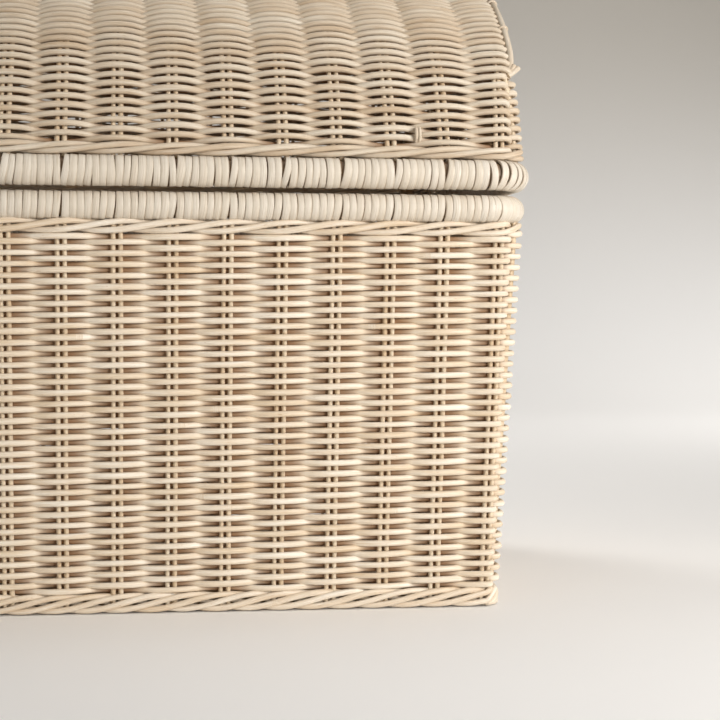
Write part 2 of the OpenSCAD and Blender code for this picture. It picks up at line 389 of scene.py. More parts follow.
@dataclass(frozen=True)
class PoleFinish(Finish):
    """Rattan pole with its skin on: tan, with darker joints and long fibres along its axis."""

    axis: int = 2
    light: Colour = (0.58, 0.40, 0.22)
    dark: Colour = (0.30, 0.17, 0.08)
    grain_across: float = 260.0
    grain_along: float = 12.0
    half_joint: float = 70 * MM

    def surface(self, g: Graph) -> dict[str, Any]:
        """Rattan on Object coordinates, with its grain along one axis.

        Args:
            g: The material's nodes.

        Returns:
            The shader's inputs.
        """
        place = g.add("ShaderNodeTexCoord")["Object"]
        stretch = [self.grain_across] * 3
        stretch[self.axis] = self.grain_along
        grain_place = g.add("ShaderNodeMapping", None, {"Vector": place, "Scale": stretch})[0]
        grain = g.noise(grain_place, 1.0, 4.0)
        patch = g.noise(place, 22.0, 3.0)
        run = g.add("ShaderNodeSeparateXYZ", None, {0: place})[self.axis] + patch * 0.02
        from_joint = g.add("ShaderNodeMath", {"operation": "PINGPONG"}, {0: run, 1: self.half_joint})[0]
        joint = g.ramp(from_joint, 3 * MM, 0.0)
        colour = g.blend(grain * 0.7 + patch * 0.5 - 0.2, self.light, self.dark)
        colour = g.blend(joint * 0.6, colour, self.dark, "MULTIPLY")
        bump = g.bump(grain * 0.6 + joint * 0.8, 0.5, 0.4 * MM)
        return {"Base Color": colour, "Roughness": grain * 0.3 + 0.3, "Normal": bump}


@dataclass(frozen=True)
class SteelFinish(Finish):
    """Plain wire nail, dulled."""

    light: Colour = (0.50, 0.50, 0.51)
    dark: Colour = (0.30, 0.28, 0.26)

    def surface(self, g: Graph) -> dict[str, Any]:
        """Steel on Object coordinates.

        Args:
            g: The material's nodes.

        Returns:
            The shader's inputs.
        """
        wear = g.noise(g.add("ShaderNodeTexCoord")["Object"], 900.0, 4.0)
        colour = g.blend(wear, self.light, self.dark)
        return {"Base Color": colour, "Roughness": wear * 0.4 + 0.25, "Metallic": 1.0}


@dataclass(frozen=True)
class StudioFinish(Finish):
    """Plain pale paper sweep, with painted shade that darkens it higher up."""

    low: Colour = (0.88, 0.866, 0.847)
    # Painted shade: the darker colour the sweep turns to higher up, where less light falls.
    high: Colour = (0.62, 0.585, 0.53)
    turn_low: float = 0.06
    turn_high: float = 1.14

    def surface(self, g: Graph) -> dict[str, Any]:
        """Paper that turns from the low colour to the high colour, a painted shade that darkens it higher up.

        Args:
            g: The material's nodes.

        Returns:
            The shader's inputs.
        """
        place = g.add("ShaderNodeTexCoord")["Object"]
        height = g.add("ShaderNodeSeparateXYZ", None, {0: place})[2]
        fade = g.add("ShaderNodeMapRange", {"interpolation_type": "SMOOTHSTEP"},
                     {0: height, 1: self.turn_low, 2: self.turn_high})[0]
        colour = g.blend(fade, self.low, self.high)
        return {"Base Color": colour, "Roughness": 0.85, "Specular IOR Level": 0.2}


# ---------- the trunk's sizes ----------


@dataclass(frozen=True)
class Outline:
    """A rounded rectangle in plan, walked from the middle of the front towards +X."""

    half_x: float
    half_y: float
    radius: float

    @property
    def length(self) -> float:
        """Whole length of the outline."""
        return 4 * (self.half_x + self.half_y) + 2 * math.pi * self.radius

    def at(self, s: np.ndarray) -> tuple[np.ndarray, np.ndarray]:
        """Points and outward directions.

        Args:
            s: Distances along the outline.

        Returns:
            Plan points and plan normals, one row each.
        """
        quarter = math.pi / 2 * self.radius
        runs = [2 * self.half_x, 2 * self.half_y, 2 * self.half_x, 2 * self.half_y]
        s = np.mod(np.asarray(s, float) + self.half_x, self.length)
        point = np.zeros((len(s), 2))
        normal = np.zeros((len(s), 2))
        start = 0.0
        for side, run in enumerate(runs):
            turn = side * math.pi / 2
            forward = np.array([math.cos(turn), math.sin(turn)])
            out = np.array([math.sin(turn), -math.cos(turn)])
            half = (self.half_x, self.half_y) if side % 2 == 0 else (self.half_y, self.half_x)
            corner = half[0] * forward + half[1] * out
            on = (s >= start) & (s < start + run)
            point[on] = corner - np.outer(run - (s[on] - start), forward) + self.radius * out
            normal[on] = out
            start += run
            on = (s >= start) & (s < start + quarter)
            angle = (s[on] - start) / self.radius
            spoke = np.outer(np.cos(angle), out) + np.outer(np.sin(angle), forward)
            point[on] = corner + self.radius * spoke
            normal[on] = spoke
            start += quarter
        return point, normal


@dataclass(frozen=True)
class Plan:
    """The trunk's sizes in metres, taken from the frame."""

    corner_r: float = 20 * MM
    stake_pitch: float = 35.7 * MM
    stake_fan: float = 0.98
    end_pairs: int = 4
    corner_turns: tuple[float, float] = (16.0, 67.5)
    cane_r: float = 2.03 * MM
    stake_r: float = 1.6 * MM
    end_spread: float = 3.6 * MM
    pair_gap: float = 4.9 * MM
    row_pitch: float = 3.6 * MM
    arch_lean: float = 17.0
    skin: float = 5 * MM
    border_half: float = 6.5 * MM

    def __post_init__(self) -> None:
        """Reads the boxes of the frame's nodes once."""
        names = ("base_rim_wrap", "lid_rim_wrap", "bottom_border", "base_upper_wale", "lid_lower_wale",
                 "lid_top_weave", "floor_weave", "hinge_ring_right", "base_front_weave")
        object.__setattr__(self, "boxes", {name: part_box(name) for name in names})

    def high(self, node: str, axis: int) -> float:
        """Highest coordinate of a node's box on one axis."""
        return self.boxes[node][1][axis]

    def low(self, node: str, axis: int) -> float:
        """Lowest coordinate of a node's box on one axis."""
        return self.boxes[node][0][axis]

    @property
    def base_rim_r(self) -> float:
        """Radius of the wrapped base rim."""
        return (self.high("base_rim_wrap", 2) - self.low("base_rim_wrap", 2)) / 2

    @property
    def base_rim_z(self) -> float:
        """Height of the base rim's axis."""
        return (self.high("base_rim_wrap", 2) + self.low("base_rim_wrap", 2)) / 2

    @property
    def lid_rim_r(self) -> float:
        """Radius of the wrapped lid rim."""
        return (self.high("lid_rim_wrap", 2) - self.low("lid_rim_wrap", 2)) / 2

    @property
    def lid_rim_z(self) -> float:
        """Height of the lid rim's axis."""
        return (self.high("lid_rim_wrap", 2) + self.low("lid_rim_wrap", 2)) / 2

    @property
    def cx(self) -> float:
        """X of the upright corners' centre lines."""
        return self.high("base_rim_wrap", 0) - self.base_rim_r - self.corner_r

    @property
    def cy(self) -> float:
        """Y of the upright corners' centre lines."""
        return self.high("base_rim_wrap", 1) - self.base_rim_r - self.corner_r

    @property
    def lid_bend(self) -> float:
        """Corner radius of the lid rim's axis."""
        return self.high("lid_rim_wrap", 0) - self.lid_rim_r - self.cx

    @property
    def taper(self) -> float:
        """Lean of the base walls per metre of height."""
        mid = self.high("bottom_border", 2) / 2
        foot_r = self.high("bottom_border", 0) - self.cx - self.border_half
        return (self.corner_r - foot_r) / (self.base_rim_z - mid)

    @property
    def arch_r(self) -> float:
        """Radius of the barrel's middle surface."""
        return (self.cy + self.corner_r) / math.cos(math.radians(self.arch_lean))

    @property
    def arch_z(self) -> float:
        """Height of the barrel's axis."""
        return self.high("lid_top_weave", 2) - self.skin - self.arch_r

    @property
    def end_pitch(self) -> float:
        """Distance between stake pairs on the ends."""
        turn = math.radians(self.corner_turns[1])
        return (self.cy + self.corner_r * math.cos(turn)) / (self.end_pairs + 1)

    @property
    def front_pairs(self) -> list[float]:
        """X of the stake pairs on a long wall, at the rim."""
        half = int((self.cx - self.pair_gap) / self.stake_pitch + 0.5)
        return [(k + 0.5) * self.stake_pitch for k in range(-half, half)]

    @property
    def ring_x(self) -> float:
        """X of the right ring hinge's middle."""
        return (self.high("hinge_ring_right", 0) + self.low("hinge_ring_right", 0)) / 2

    @property
    def weave_depth(self) -> float:
        """How far a weaver's axis stands off the wall's middle at a stake."""
        return self.stake_r + self.cane_r

    def wall_radius(self, z: float) -> float:
        """Corner radius of the base wall's middle at a height."""
        return self.corner_r - self.taper * (self.base_rim_z - z)

    def base_outline(self, z: float) -> Outline:
        """Plan of the base wall's middle at a height; the ends lean out a little more than the long walls."""
        return Outline(self.cx + self.end_spread * z / self.base_rim_z, self.cy, self.wall_radius(z))

    def arch_y(self, z: float) -> float:
        """Half depth of the barrel's middle surface at a height."""
        return math.sqrt(max(self.arch_r ** 2 - (z - self.arch_z) ** 2, 0.0))

    def pair_stations(self, outline: Outline, fan: float) -> np.ndarray:
        """Where the stake pairs stand along an outline.

        Args:
            outline: The wall's plan.
            fan: Shrink of the pairs' spacing, 1 at the rim.

        Returns:
            Distances from the middle of the front, rising.
        """
        quarter = math.pi / 2 * outline.radius
        leaving = [math.radians(t) * outline.radius for t in self.corner_turns]
        arriving = [quarter - t for t in reversed(leaving)]
        front = [x * fan for x in self.front_pairs]
        ends = [k * self.end_pitch * fan for k in range(-self.end_pairs, self.end_pairs + 1)]
        stations: list[float] = []
        start = -outline.half_x
        for run in (front, ends, front, ends):
            half = outline.half_x if run is front else outline.half_y
            stations += [start + half + x for x in run]
            start += 2 * half
            stations += [start + t for t in (leaving if run is front else arriving)]
            start += quarter
        return np.array(stations)


# ---------- meshes ----------


def placed(name: str, data: bpy.types.ID) -> bpy.types.Object:
    """Adds an object to the scene.

    Args:
        name: Name of the object.
        data: Its mesh, lamp or camera.

    Returns:
        The object.
    """
    thing = bpy.data.objects.new(name, data)
    bpy.context.scene.collection.objects.link(thing)
    return thing


def mark(mesh: bpy.types.Mesh, title: str, values: Any) -> None:
    """Stores a number or a vector on each point of a mesh.

    Args:
        mesh: The mesh.
        title: Name of the attribute.
        values: One number or one vector for each point.
    """
    array = np.asarray(values, dtype=np.float32)
    kind, key = ("FLOAT", "value") if array.ndim == 1 else ("FLOAT_VECTOR", "vector")
    mesh.attributes.new(title, kind, "POINT").data.foreach_set(key, array.ravel())


def smooth_mesh(name: str, verts: Sequence[Any], faces: Sequence[tuple[int, ...]]) -> bpy.types.Mesh:
    """Makes a mesh with smooth shading.

    Args:
        name: Name of the mesh.
        verts: Its points.
        faces: Its faces.

    Returns:
        The mesh.
    """
    mesh = bpy.data.meshes.new(name)
    mesh.from_pydata(verts, [], faces)
    mesh.polygons.foreach_set("use_smooth", [True] * len(faces))
    return mesh


def lattice(rows: int, across: int, first: int = 0, closed: bool = True,
            flip: bool = False) -> list[tuple[int, ...]]:
    """Faces between rows of points, each row closed on itself.

    Args:
        rows: Number of rows.
        across: Points in a row.
        first: Number of the first point.
        closed: Whether the last row joins the first.
        flip: Whether the faces turn the other way.

    Returns:
        The faces.
    """
    faces = []
    for k in range(rows if closed else rows - 1):
        near, far = first + k * across, first + (k + 1) % rows * across
        for i in range(across):
            j = (i + 1) % across
            face = (near + i, near + j, far + j, far + i)
            faces.append((face[0], *face[:0:-1]) if flip else face)
    return faces


def new_tree(name: str, inputs: dict[str, str]) -> bpy.types.NodeTree:
    """Starts a geometry node tree with geometry in, geometry out and named inputs.

    Args:
        name: Name of the tree.
        inputs: Kind of each named input.

    Returns:
        The tree.
    """
    tree = bpy.data.node_groups.new(name, "GeometryNodeTree")
    for title, kind in {"Geometry": "Geometry", **inputs}.items():
        tree.interface.new_socket(title, in_out="INPUT", socket_type="NodeSocket" + kind)
    tree.interface.new_socket("Geometry", in_out="OUTPUT", socket_type="NodeSocketGeometry")
    return tree


# ---------- strands ----------


@dataclass
class Strand:
    """One cane: its middle line, the wall's outward direction and its place in the weave."""

    points: np.ndarray
    out: np.ndarray
    beat: np.ndarray
    closed: bool = False
    thick: float | np.ndarray = 1.0
    reach: float | np.ndarray = 1.0

    @classmethod
    def plain(cls, points: np.ndarray, out: Any, thick: float = 1.0, closed: bool = False) -> "Strand":
        """A cane that keeps to its own line and doesn't weave.

        Args:
            points: Its middle line.
            out: Outward direction, one for all points or one for each.
            thick: Its thickness, as a share of the piece's canes.
            closed: Whether it closes on itself.

        Returns:
            The cane.
        """
        return cls(points, np.broadcast_to(out, points.shape), np.zeros(len(points)), closed, thick, 0.0)


@dataclass
class StrandTree:
    """The node tree that turns middle lines into round canes woven in and out of the stakes."""

    name: str = "Woven canes"
    flatten: float = 0.06

    def build(self) -> bpy.types.NodeTree:
        """Builds the tree.

        Returns:
            The geometry node tree.
        """
        tree = new_tree(self.name, {
            "Cane radius": "Float", "Weave depth": "Float", "Wobble": "Float", "Wobble size": "Float",
            "Sides": "Int", "Seed": "Float", "Finish": "Material"})
        g = Graph(tree)
        given = g.add("NodeGroupInput")
        swing = g.named("beat") * math.pi
        first = g.wave("COSINE", swing)
        third = g.wave("COSINE", swing * 3.0)
        weave = (first - third * self.flatten) / (1.0 - self.flatten)
        stand = weave * g.named("reach")
        push = g.vector("SCALE", g.named("out", "FLOAT_VECTOR"), stand * given["Weave depth"])
        where = g.add("GeometryNodeInputPosition")[0]
        noise = g.add("ShaderNodeTexNoise", {"noise_dimensions": "4D"}, {
            "Vector": where, "W": given["Seed"] + g.named("cane") * 3.7,
            "Scale": 1.0 / given["Wobble size"], "Detail": 1.0})["Color"]
        drift = g.vector("SCALE", g.vector("SUBTRACT", noise, (0.5, 0.5, 0.5)), given["Wobble"])
        # The depth also drives the painted shade of the cane finish, where a weaver lies behind the stakes.
        marked = g.add("GeometryNodeStoreNamedAttribute", {"data_type": "FLOAT"}, {
            "Geometry": given["Geometry"], "Name": "depth", "Value": stand})[0]
        moved = g.add("GeometryNodeSetPosition", None, {
            "Geometry": marked, "Offset": g.vector("ADD", push, drift)})[0]
        lines = g.add("GeometryNodeMeshToCurve", None, {"Mesh": moved})[0]
        circle = g.add("GeometryNodeCurvePrimitiveCircle", None, {
            "Resolution": given["Sides"], "Radius": 1.0})[0]
        circle = g.add("GeometryNodeStoreNamedAttribute", {"data_type": "FLOAT_VECTOR"}, {
            "Geometry": circle, "Name": "ring", "Value": where})[0]
        tube = g.add("GeometryNodeCurveToMesh", None, {
            "Curve": lines, "Profile Curve": circle, "Scale": g.named("thick") * given["Cane radius"],
            "Fill Caps": True})[0]
        smooth = g.add("GeometryNodeSetShadeSmooth", None, {"Geometry": tube})[0]
        g.give(smooth, given["Finish"])
        return tree


def with_tree(name: str, mesh: bpy.types.Mesh, tree: bpy.types.NodeTree,
              values: dict[str, Any]) -> bpy.types.Object:
    """Runs a mesh through a node tree and keeps the result as a plain mesh.

    Args:
        name: Name of the finished piece.
        mesh: Its starting mesh.
        tree: The geometry node tree.
        values: The tree's inputs by name.

    Returns:
        The finished piece, at the origin.
    """
    source = placed(name + "_lines", mesh)
    modifier = source.modifiers.new("nodes", "NODES")
    modifier.node_group = tree
    sockets = {item.name: item.identifier for item in tree.interface.items_tree if item.in_out == "INPUT"}
    for title, value in values.items():
        modifier[sockets[title]] = value
    evaluated = source.evaluated_get(bpy.context.evaluated_depsgraph_get())
    plain = bpy.data.meshes.new_from_object(evaluated)
    plain.name = name
    bpy.data.objects.remove(source)
    return placed(name, plain)


@dataclass
class StrandMaker:
    """Turns lists of strands into finished pieces."""

    tree: bpy.types.NodeTree
    finish: bpy.types.Material
    stake_finish: bpy.types.Material
    seed: int = 7
    cane_length: float = 1.7
    swell: float = 0.05

    def piece(self, name: str, strands: Sequence[Strand], radius: float, depth: float,
              wobble: float = 0.5 * MM, size: float = 30 * MM, sides: int = 8,
              upright: bool = False) -> bpy.types.Object:
        """Makes one piece.

        Args:
            name: Name of the piece.
            strands: Its canes.
            radius: Radius of a cane.
            depth: How far a weaver stands off the wall's middle.
            wobble: Greatest wandering of a cane, side to side.
            size: Length over which it wanders.
            sides: Sides of the round section.
            upright: Whether they are stakes, which have their own finish.

        Returns:
            The piece.
        """
        rng = np.random.default_rng(self.seed + sum(map(ord, name)))
        edges, rows = [], []
        start = 0
        for strand in strands:
            count = len(strand.points)
            step = np.linalg.norm(np.diff(strand.points, axis=0), axis=1)
            along = np.concatenate([[0.0], np.cumsum(step)])
            offset = rng.uniform(0, self.cane_length)
            cane = np.floor((along + offset) / self.cane_length) + rng.uniform(0, 50)
            swell = 1 + self.swell * np.sin(along * rng.uniform(25, 60) + rng.uniform(0, 6.3))
            rows.append((strand.points, strand.out, strand.beat, along + offset, cane,
                         strand.thick * swell * rng.uniform(0.93, 1.07), np.full(count, 1.0) * strand.reach))
            index = np.arange(start, start + count)
            edges.append(np.stack([index[:-1], index[1:]], 1))
            if strand.closed:
                edges.append(np.array([[index[-1], index[0]]]))
            start += count
        points, out, beat, along, cane, thick, reach = (np.concatenate(part) for part in zip(*rows))
        mesh = bpy.data.meshes.new(name)
        mesh.from_pydata(points, np.concatenate(edges), [])
        for title, values in (("beat", beat), ("along", along), ("cane", cane),
                              ("thick", thick), ("reach", reach), ("out", out)):
            mark(mesh, title, values)
        finish = self.stake_finish if upright else self.finish
        return with_tree(name, mesh, self.tree, {
            "Cane radius": radius, "Weave depth": depth, "Wobble": wobble, "Wobble size": size,
            "Sides": sides, "Seed": float(self.seed), "Finish": finish})


def finish_piece(piece: bpy.types.Object, body: Body, nodes: Sequence[str]) -> None:
    """Puts a piece on its body and hides the CAD nodes it stands for.

    Args:
        piece: The piece.
        body: The body it moves with.
        nodes: The CAD nodes it stands for.
    """
    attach(piece, body.value)
    if nodes:
        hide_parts(*nodes)
    LOG.info("%s: %d faces", piece.name, len(piece.data.polygons))


def smooth_noise(rng: np.random.Generator, phase: np.ndarray, size: float, waves: int = 5) -> np.ndarray:
    """A smooth closed wander.

    Args:
        rng: Source of the numbers.
        phase: Angle round the loop.
        size: Rough size of the wander.
        waves: How many waves add up.

    Returns:
        The wander at each phase.
    """
    total = np.zeros(len(phase))
    for _ in range(waves):
        total += np.sin(phase * rng.integers(1, 14) + rng.uniform(0, 6.3)) * rng.uniform(0.3, 1.0)
    return total * size / waves


@dataclass(frozen=True)
class Row:
    """One row of a cane that runs to and fro: its pairs, its level and the number of its first pair."""

    pairs: np.ndarray
    level: float
    first: int


@dataclass
class Weaver:
    """Lays out rows of canes round or across the trunk."""

    plan: Plan
    samples: int = 8
    wander: float = 0.32 * MM
    tilt: float = 0.25 * MM
    bulge: float = 1.6 * MM
    rod_wander: float = 0.2 * MM
    seed: int = 11
    rng: np.random.Generator = field(init=False)

    def __post_init__(self) -> None:
        """Starts the random numbers."""
        self.rng = np.random.default_rng(self.seed)

    def stations(self, pairs: np.ndarray, closed_length: float | None) -> tuple[np.ndarray, np.ndarray]:
        """Sample places between stake pairs.

        Args:
            pairs: Places of the pairs along a path.
            closed_length: The path's length if it closes, else None.

        Returns:
            Places and beats, where a whole beat is a stake pair.
        """
        if closed_length is not None:
            pairs = np.append(pairs, pairs[0] + closed_length)
        share = np.arange(self.samples) / self.samples
        start, gap = pairs[:-1, None], np.diff(pairs)[:, None]
        places = (start + gap * share).ravel()
        beats = (np.arange(len(pairs) - 1)[:, None] + share).ravel()
        if closed_length is None:
            places, beats = np.append(places, pairs[-1]), np.append(beats, len(pairs) - 1.0)
        return places, beats

    def loop(self, outline: Outline, fan: float, z: float, row: int, lean: float = 0.0) -> Strand:
        """One row that goes all the way round.

        Args:
            outline: Plan of the row.
            fan: Spread of the stakes at this height.
            z: Height of the row.
            row: Number of the row, which sets where it passes over.
            lean: How far the long walls lean back here, in radians.

        Returns:
            The row.
        """
        s, beat = self.stations(self.plan.pair_stations(outline, fan), outline.length)
        plan_point, plan_out = outline.at(s)
        phase = s / outline.length * 2 * math.pi
        height = z + smooth_noise(self.rng, phase, self.wander) + self.tilt * np.sin((beat + row) * math.pi)
        points = np.column_stack([plan_point, height])
        facing = np.abs(plan_out[:, 1])
        out = np.column_stack([plan_out[:, 0], plan_out[:, 1] * math.cos(lean), facing * math.sin(lean)])
        out /= np.linalg.norm(out, axis=1)[:, None]
        corner = np.minimum(2.8 * np.abs(plan_out[:, 0] * plan_out[:, 1]), 1.0) * plan_out[:, 1] ** 2
        over = np.maximum(np.cos((beat + row) * math.pi), 0.0)
        points = points + out * (self.bulge * corner * over)[:, None]
        return Strand(points, out, beat + row, closed=True)

    def wale(self, outline: Outline, fan: float, z: float, rods: int, rise: float, push: float = 0.0,
             period: int = 3) -> list[Strand]:
        """A twined band: each rod passes before two pairs and behind one, rising to the right.

        Args:
            outline: Plan of the band.
            fan: Spread of the stakes at this height.
            z: Height of the band's middle.
            rods: How many rods share the band.
            rise: Height that a rod climbs.
            push: How far the whole band stands out.
            period: Stake pairs in one turn of a rod.

        Returns:
            The rods.
        """
        s, beat = self.stations(self.plan.pair_stations(outline, fan), outline.length)
        plan_point, plan_out = outline.at(s)
        out = np.column_stack([plan_out, np.zeros(len(s))])
        phase = s / outline.length * 2 * math.pi
        rods_made = []
        for rod in range(rods):
            turn = 2 * math.pi * (beat - 0.5 - rod * period / rods) / period
            stand = np.tanh(1.6 * (np.cos(turn) + 0.3)) * self.plan.weave_depth + push
            height = z + rise / 2 * np.sin(turn) + smooth_noise(self.rng, phase, self.rod_wander)
            points = np.column_stack([plan_point, height]) + out * stand[:, None]
            rods_made.append(Strand.plain(points, out, closed=True))
        return rods_made

    def back_and_forth(self, rows: Sequence[Row], place: Callable[..., tuple], turn_out: float,
                       turn_samples: int = 6) -> Strand:
        """One long cane that runs to and fro, turning back round the last stakes of each row.

        Args:
            rows: The rows in order.
            place: Gives points and outward directions from places and levels.
            turn_out: How far the cane reaches past the last stakes.
            turn_samples: Points in each turn.

        Returns:
            The cane.
        """
        points, outs, beats = [], [], []
        beat = 0.0
        for number, row in enumerate(rows):
            places, steps = self.stations(row.pairs, None)
            sign = 1 if number % 2 == 0 else -1
            start = row.first + number + (0 if sign > 0 else len(row.pairs) - 1)
            swing = (start - beat) % 2
            if number:
                share = np.arange(1, turn_samples) / turn_samples
                end = places[0 if sign > 0 else -1] - sign * turn_out * np.sin(math.pi * share)
                level = rows[number - 1].level
                point, out = place(end, level + (row.level - level) * share, np.zeros(len(share)))
                points.append(point)
                outs.append(out)
                beats.append(beat + share * swing)
            beat += swing
            if sign < 0:
                places = places[::-1]
            span = row.pairs[-1] - row.pairs[0]
            waver = smooth_noise(self.rng, places / span * 3, 1.0) * self.wander
            fade = np.sin(np.linspace(0, math.pi, len(places))) ** 0.5
            point, out = place(places, np.full(len(places), row.level), waver * fade)
            points.append(point)
            outs.append(out)
            beats.append(beat + steps)
            beat += steps[-1]
        return Strand(np.concatenate(points), np.concatenate(outs), np.concatenate(beats))


# ---------- base ----------


@dataclass
class BaseWeave:
    """The four walls of the base, woven round in closed rows, with their stakes and bands."""

    plan: Plan
    weaver: Weaver
    canes: StrandMaker
    bands: int = 3
    above_border: float = 1.2 * MM
    below_wale: float = 0.8 * MM
    wale_rods: int = 3
    wale_rise: float = 6.4 * MM
    wale_lift: float = 1.2 * MM
    ring_room: float = 2.4 * MM
    border_rods: int = 5
    border_push: float = 0.6 * MM
    border_play: float = 0.6 * MM
    stake_foot: float = 4 * MM
    stake_steps: int = 9
    nodes: tuple[str, ...] = ("base_front_weave", "base_back_weave", "base_left_weave", "base_right_weave")

    def fan(self, z: float) -> float:
        """Spread of the stakes at a height."""
        share = (self.plan.base_rim_z - z) / self.plan.base_rim_z
        return 1 - (1 - self.plan.stake_fan) * share

    def build(self) -> None:
        """Builds walls, stakes, upper wale and bottom border."""
        plan = self.plan
        low = plan.high("bottom_border", 2) + self.above_border
        high = plan.low("base_upper_wale", 2) - self.below_wale
        count = round((high - low) / plan.row_pitch)
        heights = np.linspace(low, high, count + 1)
        rows = [self.weaver.loop(plan.base_outline(z), self.fan(z), z, row) for row, z in enumerate(heights)]
        for band, chunk in enumerate(np.array_split(np.arange(len(rows)), self.bands)):
            piece = self.canes.piece(f"base_weave_{band + 1}", [rows[i] for i in chunk], plan.cane_r,
                                     plan.weave_depth)
            finish_piece(piece, Body.BASE, self.nodes)
        self.build_stakes()
        self.build_wale()
        self.build_border()

    def build_stakes(self) -> None:
        """Builds the pairs of upright stakes."""
        plan = self.plan
        heights = np.linspace(self.stake_foot, plan.base_rim_z - 0.4 * plan.base_rim_r, self.stake_steps)
        strands = []
        for side in PAIR:
            lines = []
            for z in heights:
                outline = plan.base_outline(z)
                stations = plan.pair_stations(outline, self.fan(z)) + side * plan.pair_gap
                point, out = outline.at(stations)
                lines.append((np.column_stack([point, np.full(len(point), z)]), out))
            for k in range(len(lines[0][0])):
                points = np.array([line[0][k] for line in lines])
                out = np.array([[*line[1][k], 0.0] for line in lines])
                strands.append(Strand.plain(points, out))
        piece = self.canes.piece("base_stakes", strands, plan.stake_r, 0.0, wobble=0.6 * MM, upright=True)
        finish_piece(piece, Body.BASE, ("base_front_stakes", "base_back_stakes",
                                                    "base_left_stakes", "base_right_stakes"))

    def build_wale(self) -> None:
        """Builds the twined band under the rim."""
        plan = self.plan
        z = (plan.low("base_upper_wale", 2) + plan.high("base_upper_wale", 2)) / 2 + self.wale_lift
        rods = self.weaver.wale(plan.base_outline(z), 1.0, z, self.wale_rods, self.wale_rise)
        clear_of_rings(rods, plan, plan.cy + plan.corner_r, plan.base_rim_z, plan.base_rim_r + self.ring_room)
        piece = self.canes.piece("base_upper_wale_rods", rods, plan.cane_r, 0.0, wobble=0.3 * MM)
        finish_piece(piece, Body.BASE, ("base_upper_wale",))

    def build_border(self) -> None:
        """Builds the thick twined border on the floor."""
        plan = self.plan
        height = plan.high("bottom_border", 2)
        rise = height - 2 * plan.cane_r - self.border_play
        z = height / 2
        rods = self.weaver.wale(plan.base_outline(z), self.fan(z), z, self.border_rods, rise,
                                push=self.border_push)
        piece = self.canes.piece("bottom_border_rods", rods, plan.cane_r, 0.0, wobble=0.2 * MM)
        finish_piece(piece, Body.BASE, ("bottom_border",))


def clear_of_rings(strands: Sequence[Strand], plan: Plan, y: float, z: float, radius: float,
                   ease: float = 6 * MM) -> None:
    """Bends strands away from the ring hinges.

    Args:
        strands: The strands, changed in place.
        plan: The trunk's sizes.
        y: Y of the rim that the rings hold.
        z: Height of that rim.
        radius: Radius that stays free round it.
        ease: Length over which a strand comes back to its own line.
    """
    half = (plan.high("hinge_ring_right", 0) - plan.low("hinge_ring_right", 0)) / 2
    for strand in strands:
        p = strand.points
        near = np.clip(1 - (np.abs(np.abs(p[:, 0]) - plan.ring_x) - half - plan.cane_r) / ease, 0, 1)
        near = np.where(p[:, 1] > 0, near, 0.0)
        away = np.column_stack([np.zeros(len(p)), p[:, 1] - y, p[:, 2] - z])
        distance = np.linalg.norm(away, axis=1)
        short = np.maximum(radius + plan.cane_r - distance, 0.0) * near
        strand.points = p + away / np.maximum(distance, 1e-6)[:, None] * short[:, None]


@dataclass
class FloorPanel:
    """The woven panel in the bottom."""

    plan: Plan
    weaver: Weaver
    canes: StrandMaker
    row_pitch: float = 4.3 * MM
    stake_pitch: float = 32 * MM
    cane_r: float = 1.6 * MM
    stake_r: float = 1.3 * MM
    pair_gap: float = 3.4 * MM
    edge: float = 5 * MM
    turn_out: float = 3.5 * MM
    press: float = 0.4 * MM
    stake_steps: int = 12

    def build(self) -> None:
        """Builds the panel's weavers and stakes."""
        low, high = self.plan.boxes["floor_weave"]
        z = (low[2] + high[2]) / 2
        half_x, half_y = high[0] - 2 * self.cane_r, high[1] - 2 * self.cane_r
        count = int(2 * half_x / self.stake_pitch)
        pairs = np.linspace(-half_x + self.edge, half_x - self.edge, count)
        levels = np.arange(-half_y, half_y, self.row_pitch)
        rows = [Row(pairs, level, 0) for level in levels]

        def place(x: np.ndarray, y: np.ndarray, waver: np.ndarray) -> tuple[np.ndarray, np.ndarray]:
            """Points and upward directions on the panel."""
            points = np.column_stack([x, y + waver, np.full(len(x), z)])
            return points, np.tile(UP, (len(x), 1))

        cane = Weaver(self.plan, samples=6).back_and_forth(rows, place, self.turn_out)
        depth = self.cane_r + self.stake_r - self.press
        piece = self.canes.piece("floor_weavers", [cane], self.cane_r, depth, sides=6)
        finish_piece(piece, Body.BASE, ("floor_weave",))
        stakes = []
        ys = np.linspace(-half_y, half_y, self.stake_steps)
        for x in pairs:
            for side in PAIR:
                xs = np.full(len(ys), x + side * self.pair_gap)
                stakes.append(Strand.plain(np.column_stack([xs, ys, np.full(len(ys), z)]), UP))
        piece = self.canes.piece("floor_stakes", stakes, self.stake_r, 0.0, sides=6, upright=True)
        finish_piece(piece, Body.BASE, ("floor_weave",))


# ---------- rims ----------


